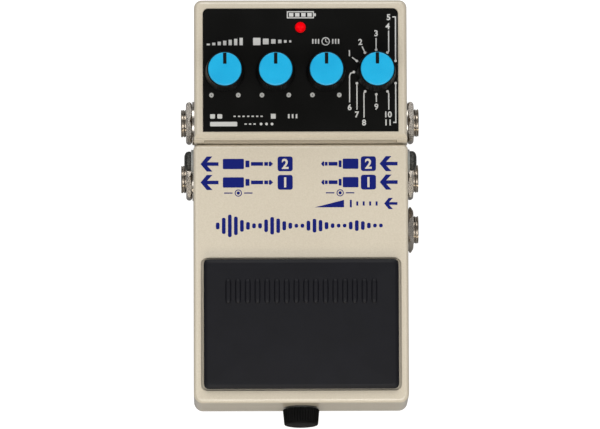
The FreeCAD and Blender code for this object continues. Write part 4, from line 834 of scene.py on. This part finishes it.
def cross_line(node):
    """The point on x = 0 that is level with the middle of a CAD node, in metres, and the node's side."""
    low, high = box_mm(node)
    middle = (low + high) / 2
    return np.array([0, middle[1], middle[2]]) * mm, np.sign(middle[0])


def sleeve(name):
    """A tube with a turned outer thread and a chamfered mouth, from inside the case to past the nut."""
    centre, side = cross_line(name + "_jack")
    inner_end, thread_foot, outer_end = 30.65, 34.4, 37.3
    outside, bore, pitch, depth, segments = 4.4, 3.2, 0.8, 0.36, 96
    plain_end, edge, mouth, run_out = outer_end - 0.15, outside - 0.12, 0.3, 0.4
    steps = np.arange(thread_foot, plain_end, 0.06)
    shape = np.vstack([
        [(bore, inner_end), (outside, inner_end)],
        np.column_stack([np.full(len(steps), outside), steps]),
        [(outside, plain_end), (edge, outer_end), (bore + mouth, outer_end), (bore, outer_end - mouth),
         (bore, inner_end)],
    ])
    radius, height = shape[:, :1], shape[:, 1:]
    on_thread = (radius > outside - 0.01) & (height > thread_foot - 0.01)
    threads = threaded(radius, height, pitch, depth, thread_foot, outer_end + run_out, segments)
    cut = np.where(on_thread, threads, radius)
    return turned(cut, height, centre, [side, 0, 0], [0, 0, 1], segments)


def hexagon_radius(flats, segments):
    """The outline of a hexagon about its middle: half its flats over the cosine of the angle from the
    nearest flat's middle."""
    angle = full_turn(segments)
    return flats / 2 / np.cos(np.mod(angle, np.pi / 3) - np.pi / 6)


def socket_nut(name):
    """A hexagon on both of whose faces a cone cuts the corners off: at each angle the flat begins where
    the cone, which rises by its slope from the face's round edge, reaches the hexagon's radius."""
    centre, side = cross_line(name + "_jack")
    segments, flats, face_radius, cone_slope = 192, 12.5, 6.0, 0.62
    bore, inner, outer = 4.47, 33.82, 35.72
    hexagon = hexagon_radius(flats, segments)
    rise = (hexagon - face_radius) * cone_slope
    rows = [(bore, inner), (face_radius, inner), (hexagon, inner + rise), (hexagon, outer - rise),
            (face_radius, outer), (bore, outer), (bore, inner)]
    ring = np.ones(segments)
    radius = np.array([out * ring for out, up in rows])
    height = np.array([up * ring for out, up in rows])
    corner_lean = np.radians(40 if name == "expression" else 5.5)
    corner_direction = [0, -np.sin(corner_lean), np.cos(corner_lean)]
    return turned(radius, height, centre, [side, 0, 0], corner_direction, segments)


sleeves = make_piece("socket_sleeves", [sleeve(name) for name in socket_names], nickel)
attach(sleeves, "case")
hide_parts("jack_sleeves")
nuts = make_piece("socket_nuts", [socket_nut(name) for name in socket_names], nickel, sharp=25)
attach(nuts, "case")
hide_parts("jack_nuts")


# Treadle pivots. A dark screw on each side with a knurled head and a hexagon recess, screwed into the
# case, and a light nylon bush in the treadle's skirt that turns on it.
def nylon(name, dark, light):
    return grained(name, (dark, light), (0.4, 0.55), 0.25 * mm, 4 * mm, 0.01 * mm,
                   {"Subsurface Weight": 0.08})


def pivot_screw(side):
    """Thread, shoulder and knurled head. The recess is the last rows, on a hexagon's outline."""
    segments, knurls, knurl_depth = 180, 30, 0.14
    thread, shoulder, head = 2.0, 2.4, 3.1
    tip, shoulder_foot, seat, end = 23.85, 30.85, 34.1, 36.2
    recess_flats, recess_depth, recess_cone = 2.6, 1.2, 0.4
    outside = np.array([
        (0, tip), (thread - 0.4, tip), (thread, tip + 0.5), (thread, shoulder_foot),
        (shoulder, shoulder_foot), (shoulder, seat),
        (head - 0.15, seat), (head, seat + 0.2), (head, seat + 0.8),
        (head - 0.08, seat + 1.15), (head - 0.3, seat + 1.5), (head - 0.7, seat + 1.82),
        (head - 1.2, end - 0.06), (recess_flats / 2 + 0.25, end)])
    knurled = slice(7, 9)
    radius = np.broadcast_to(outside[:, :1], (len(outside), segments)).copy()
    height = np.broadcast_to(outside[:, 1:], (len(outside), segments)).copy()
    angle = full_turn(segments)
    radius[knurled] -= knurl_depth * (0.5 - 0.5 * np.cos(knurls * angle))
    hexagon = hexagon_radius(recess_flats, segments)
    floor = end - recess_depth
    recess = [(hexagon, end - 0.06), (hexagon, floor), (0 * hexagon, floor - recess_cone)]
    radius = np.vstack([radius, *(row for row, place in recess)])
    height = np.vstack([height, *(np.full(segments, place) for row, place in recess)])
    return turned(radius, height, cross_line("pivot_bushes")[0], [side, 0, 0], [0, 0, 1], segments)


dark_zinc = grained("dark_zinc", ((0.008, 0.008, 0.0075), (0.105, 0.105, 0.095)), (0.34, 0.55),
                    0.35 * mm, 1.5 * mm, 0.08 * mm, {"Metallic": 0.75}, strength=0.9, toned_by="Grain")
screws = make_piece("pivot_screw_pair", [pivot_screw(side) for side in (-1, 1)], dark_zinc)
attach(screws, "case")
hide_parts("pivot_screws")
light_nylon = nylon("light_nylon", (0.30, 0.30, 0.28), (0.42, 0.41, 0.39))
dress(light_nylon, "pivot_bushes", "spring_cap", "switch_actuator", "guide_bush", "switch_plunger",
      "thumbscrew_washer")


# Thumbscrew. A black ribbed head moulded on a steel screw, which holds the treadle's front down over the
# battery, in a brass insert in the treadle's front wall.
def thumbscrew_head():
    """Its radius falls by ((1 - cos 36 a) / 2) ** 1.3 of the ribs' depth, and its end is a low dome."""
    ribs, per_rib, depth = 36, 6, 0.26
    foot, reach, wide, narrow, dome, bore = 0.03, 5.2, 5.7, 5.3, 0.6, 1.62
    socket = reach / 2
    side = np.linspace(0.06, 0.94, 9)
    low = [(bore, foot), (wide - 0.35, foot), (wide - 0.1, foot + 0.1)]
    flank = np.column_stack([wide + (narrow - wide) * side, foot + (reach - dome) * side])
    turn = np.linspace(0, np.pi / 2, 9)
    end = np.column_stack([
        narrow - 0.25 + 0.2 * np.cos(turn) - (narrow - 0.05) * (1 - np.cos(turn)) ** 1.5,
        reach - dome + dome * np.sin(turn)])
    end[-1, 0] = 0
    shape = np.vstack([low, flank, end, [(0, socket), (bore, socket)]])
    radius, height = shape[:, :1], shape[:, 1:]
    angle = full_turn(ribs * per_rib)
    on_side = np.zeros_like(radius)
    on_side[len(low):len(low) + len(flank)] = 1
    ribbed = radius - on_side * depth * (0.5 - 0.5 * np.cos(ribs * angle))[None, :] ** 1.3
    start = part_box("thumbscrew_knob")
    centre = np.array([0, start[1][1], (start[0][2] + start[1][2]) / 2])
    return turned(ribbed, height, centre, [0, -1, 0], [1, 0, 0], ribs * per_rib)


def thumbscrew_rod():
    """A rod with a thread along it and a coned tip, in the place of the plain shaft."""
    low, high = box_mm("thumbscrew_shaft")
    length, outside, thread_foot, pitch, depth, segments = high[1] - low[1], 1.6, 2.8, 0.7, 0.2, 64
    cone, run_out = 0.5, 0.2
    steps = np.arange(thread_foot, length - cone, 0.08)
    shape = np.vstack([[(0, 0), (outside, 0)],
                       np.column_stack([np.full(len(steps), outside), steps]),
                       [(outside, length - cone), (outside - cone, length), (0, length)]])
    radius, height = shape[:, :1], shape[:, 1:]
    threads = threaded(radius, height, pitch, depth, thread_foot, length + run_out, segments)
    cut = np.where(radius > outside - 0.01, threads, radius)
    centre = np.array([0, low[1], (low[2] + high[2]) / 2]) * mm
    return turned(cut, height, centre, [0, 1, 0], [1, 0, 0], segments)


screw_black = black_plastic("matt_black_plastic", (0.45, 0.55), 0.08)
head = make_piece("thumbscrew_head", [thumbscrew_head()], screw_black)
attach(head, "thumbscrew")
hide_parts("thumbscrew_knob")
rod = make_piece("thumbscrew_rod", [thumbscrew_rod()], plated_steel)
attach(rod, "thumbscrew")
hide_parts("thumbscrew_shaft")
dress(contact_brass, "thumbscrew_insert")


# Return spring. A coil of hard steel wire that stands in its well and pushes the treadle up, with its
# last turn at each end closed and flat.
def coil_spring():
    """Its line is (R cos a, R sin a, z), where z rises slowly in the end turns and evenly between, and
    its wire is an upright ring round that line."""
    low, high = box_mm("return_spring")
    wire, turns, per_turn = 0.45, 7.5, 36
    radius = (high[0] - low[0]) / 2 - wire
    share = np.linspace(0, 1, int(turns * per_turn) + 1)
    angle = 2 * np.pi * turns * share
    closed = 0.9 / turns
    rise = np.clip((share - closed) / (1 - 2 * closed), 0, 1)
    flat_turn = 2.1 * wire
    free = high[2] - low[2] - 2 * wire - 2 * flat_turn
    z = low[2] + wire + flat_turn * np.clip(share / closed, 0, 1) + free * rise
    z += flat_turn * np.clip((share - 1 + closed) / closed, 0, 1)
    middle = (low + high) / 2
    line = np.stack([middle[0] + radius * np.cos(angle), middle[1] + radius * np.sin(angle), z], axis=1)
    out = np.stack([np.cos(angle), np.sin(angle), 0 * angle], axis=1)
    around = full_turn(12)
    tube = line[:, None] + wire * (np.cos(around)[None, :, None] * out[:, None]
                                   + np.sin(around)[None, :, None] * np.array([0, 0, 1]))
    ends = [np.broadcast_to(line[place], (1, 12, 3)) for place in (0, -1)]
    return grid_part(np.vstack([ends[0], tube, ends[1]]) * mm, closed_columns=True)


spring_wire = metal("spring_wire", (0.36, 0.36, 0.36), (0.50, 0.50, 0.49), (0.2, 0.32), 0.2 * mm, 2 * mm)
spring = make_piece("coil_spring", [coil_spring()], spring_wire)
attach(spring, "case")
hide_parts("return_spring")
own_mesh(spring)


# Foot switch. A small black switch on its own board under the deck, and the rubber stops on the deck
# that the pressed treadle comes down on.
stop_rubber = dark_rubber("stop_rubber", (0.02, 0.02, 0.02), 0.3 * mm)
dress(knob_black, "foot_switch")
dress(stop_rubber, "treadle_bumpers")


# Boards. Green solder mask over copper tracks that run along and across, and black parts on them; a grey
# flat cable of eleven wires joins the two big boards.
def board_mask():
    """Tracks are thin lines of a brick pattern, and pads the middles of small cells."""
    material, tree, place = new_material("solder_mask")
    grain = grain_of(tree, place, 0.3 * mm, 6 * mm)
    tracks = add_node(tree, "TexBrick", {
        "Vector": place, "Scale": 1.0, "Mortar Size": 0.16 * mm, "Brick Width": 6.2 * mm,
        "Row Height": 1.1 * mm, "Color1": (0, 0, 0, 1), "Color2": (0, 0, 0, 1), "Mortar": (1, 1, 1, 1),
    }).outputs["Color"]
    cells = add_node(tree, "TexVoronoi", {"Vector": place, "Scale": 1 / (2.4 * mm)})
    pads = stepped(tree, cells.outputs["Distance"], 0.16, 0.12)
    mask_tone = blended(tree, grain["Cloud"], (0.006, 0.075, 0.022), (0.009, 0.10, 0.03))
    tracked = mixed(tree, tracks, mask_tone, (0.02, 0.17, 0.055, 1))
    return surfaced(material, {
        "Base Color": mixed(tree, pads, tracked, (0.55, 0.55, 0.52, 1)),
        "Metallic": pads,
        "Roughness": spread(tree, grain["Grain"], 0.3, 0.42),
        "Normal": relief(tree, tracks, 0.03 * mm, 0.6),
    })


def flat_cable():
    """Grey ribs, one for each wire, across the cable's width, and painted shade in the grooves."""
    material, tree, place = new_material("flat_cable")
    grain = grain_of(tree, place, 0.3 * mm, 5 * mm)
    wire_pitch = 1 * mm
    phase = worked_out(tree, "MULTIPLY", coordinate(tree, place, "X"), 2 * np.pi / wire_pitch)
    ribs = stepped(tree, worked_out(tree, "COSINE", phase), -1.0, 1.0)
    return surfaced(material, {
        # The colour runs from dark in the grooves to light on the ribs: painted shade.
        "Base Color": blended(tree, ribs, (0.22, 0.22, 0.22), (0.42, 0.42, 0.43)),
        "Roughness": spread(tree, grain["Grain"], 0.45, 0.6),
        "Normal": relief(tree, ribs, 0.2 * mm, 0.8),
    })


dress(board_mask(), "main_board", "control_board", "switch_board")
dress(nylon("board_parts", (0.012, 0.012, 0.012), (0.022, 0.022, 0.022)), "main_board_parts")
dress(flat_cable(), "ribbon_cable")
dress(plated_steel, "board_screws")


# Power socket and data port at the rear. A black nose round a silver pin, and a folded steel shell round
# a black tongue. The pin and the tongue are told apart from the rest by their place in millimetres.
def two_finishes(name, inner_place, inner, outer):
    """One material with an inner and an outer finish, each a colour, a roughness and a share of metal.
    The inner one lies where x and z are both within a half size of a middle."""
    material, tree, place = new_material(name)
    grain = grain_of(tree, place, 0.25 * mm, 3 * mm)
    within = [worked_out(tree, "COMPARE", coordinate(tree, place, key), middle * mm, half * mm)
              for key, (middle, half) in inner_place.items()]
    inside = worked_out(tree, "MULTIPLY", *within)
    rough, metallic = (mixed(tree, inside, *pair, "FLOAT") for pair in zip(outer[1:], inner[1:]))
    return surfaced(material, {
        "Base Color": mixed(tree, inside, (*outer[0], 1), (*inner[0], 1)),
        "Metallic": metallic,
        "Roughness": worked_out(tree, "MULTIPLY_ADD", grain["Grain"], 0.1, rough),
        "Normal": relief(tree, grain["Grain"], 0.01 * mm, 0.5),
    })


silver, black = ((0.66, 0.65, 0.62), 0.18, 1.0), ((0.008, 0.008, 0.008), 0.4, 0.0)
pin_place = {"Z": (10.7, 1.2), "X": (0.0, 1.2)}
tongue_place = {"Z": (6.6, 0.95), "X": (-15.5, 3.2)}
dress(two_finishes("power_socket", pin_place, silver, black), "power_jack")
dress(two_finishes("data_port", tongue_place, black, silver), "usb_port")


# Battery. A nine volt block in a printed steel jacket with a lighter band, on a foam strip, with its
# snap connector and two leads.
def battery_jacket():
    material, tree, place = new_material("battery_jacket")
    grain = grain_of(tree, place, 0.3 * mm, 8 * mm)
    band = stepped(tree, coordinate(tree, place, "X"), 8.0 * mm, 8.2 * mm)
    return surfaced(material, {
        "Base Color": mixed(tree, band, (0.02, 0.021, 0.024, 1), (0.42, 0.40, 0.36, 1)),
        "Metallic": spread(tree, band, 0.25, 0.9),
        "Roughness": spread(tree, grain["Grain"], 0.28, 0.38),
        "Normal": relief(tree, grain["Grain"], 0.006 * mm, 0.5),
    })


def lead_sleeving():
    """Red sleeving on one lead and black on the other, told apart by their place across."""
    material, tree, place = new_material("lead_sleeving")
    grain = grain_of(tree, place, 0.2 * mm, 2 * mm)
    low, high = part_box("battery_leads")
    right = worked_out(tree, "GREATER_THAN", coordinate(tree, place, "X"), (low[0] + high[0]) / 2)
    return surfaced(material, {
        "Base Color": mixed(tree, right, (0.01, 0.01, 0.01, 1), (0.40, 0.012, 0.012, 1)),
        "Roughness": spread(tree, grain["Grain"], 0.35, 0.5),
        "Normal": relief(tree, grain["Grain"], 0.01 * mm, 0.5),
    })


dress(battery_jacket(), "battery")
dress(dark_rubber("foam_strip", (0.03, 0.03, 0.032), 0.7 * mm), "battery_foam")
dress(knob_black, "battery_snap")
dress(lead_sleeving(), "battery_leads")


# Bottom. A zinc plated plate behind a black rubber mat with a pebbled face, held by four screws with a
# cross recess, whose heads lie in holes of the mat.
def pebbled_mat():
    """Round pebbles are the near parts of small cells, over a fine grain; painted shade darkens the
    gaps.
    """
    material, tree, place = new_material("pebbled_mat")
    grain = grain_of(tree, place, 0.2 * mm, 12 * mm)
    cells = add_node(tree, "TexVoronoi", {"Vector": place, "Scale": 1 / (1.3 * mm)})
    pebble = stepped(tree, cells.outputs["Distance"], 0.55, 0.1)
    return surfaced(material, {
        # The colour is darker in the gaps between the pebbles than on their tops: painted shade.
        "Base Color": blended(tree, pebble, (0.008, 0.008, 0.008), (0.02, 0.02, 0.021)),
        "Roughness": spread(tree, grain["Grain"], 0.6, 0.8),
        "Normal": relief(tree, pebble, 0.15 * mm, 0.8),
    })


screw_head = 2.6


def cross_screw(x, y):
    """Head and shank. Rows on the head's face sink by the recess's depth where either coordinate is
    under half the cross's width, so the cross is part of the surface."""
    face, under, tip = 0.2, 1.2, 9.0
    shank, arm, half_width, depth, segments = 1.5, 1.45, 0.36, 0.75, 96
    rows = np.linspace(0, 1, 26)[:, None]
    angle = full_turn(segments)[None, :]
    radius = (screw_head - 0.1) * rows + 0 * angle
    nearest = np.minimum(np.abs(radius * np.cos(angle)), np.abs(radius * np.sin(angle)))
    inside = np.clip((half_width - nearest) / 0.12, 0, 1) * np.clip((arm - radius) / 0.15, 0, 1)
    height = face + depth * inside
    rim = [(screw_head, face + 0.25), (screw_head, under), (shank, under), (shank, tip - 0.8), (0, tip)]
    radius = np.vstack([radius] + [np.full((1, segments), r) for r, h in rim])
    height = np.vstack([height] + [np.full((1, segments), h) for r, h in rim])
    return turned(radius, height, np.array([x, y, 0]) * mm, [0, 0, 1], [1, 0, 0], segments)


dress(pebbled_mat(), "bottom_mat")
dress(plated_steel, "bottom_plate")
screw_low, screw_high = box_mm("bottom_screws")
corners = [(x, y) for x in (screw_low[0] + screw_head, screw_high[0] - screw_head)
           for y in (screw_low[1] + screw_head, screw_high[1] - screw_head)]
bottom_screws = make_piece("cross_screws", [cross_screw(*corner) for corner in corners], plated_steel)
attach(bottom_screws, "case")
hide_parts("bottom_screws")
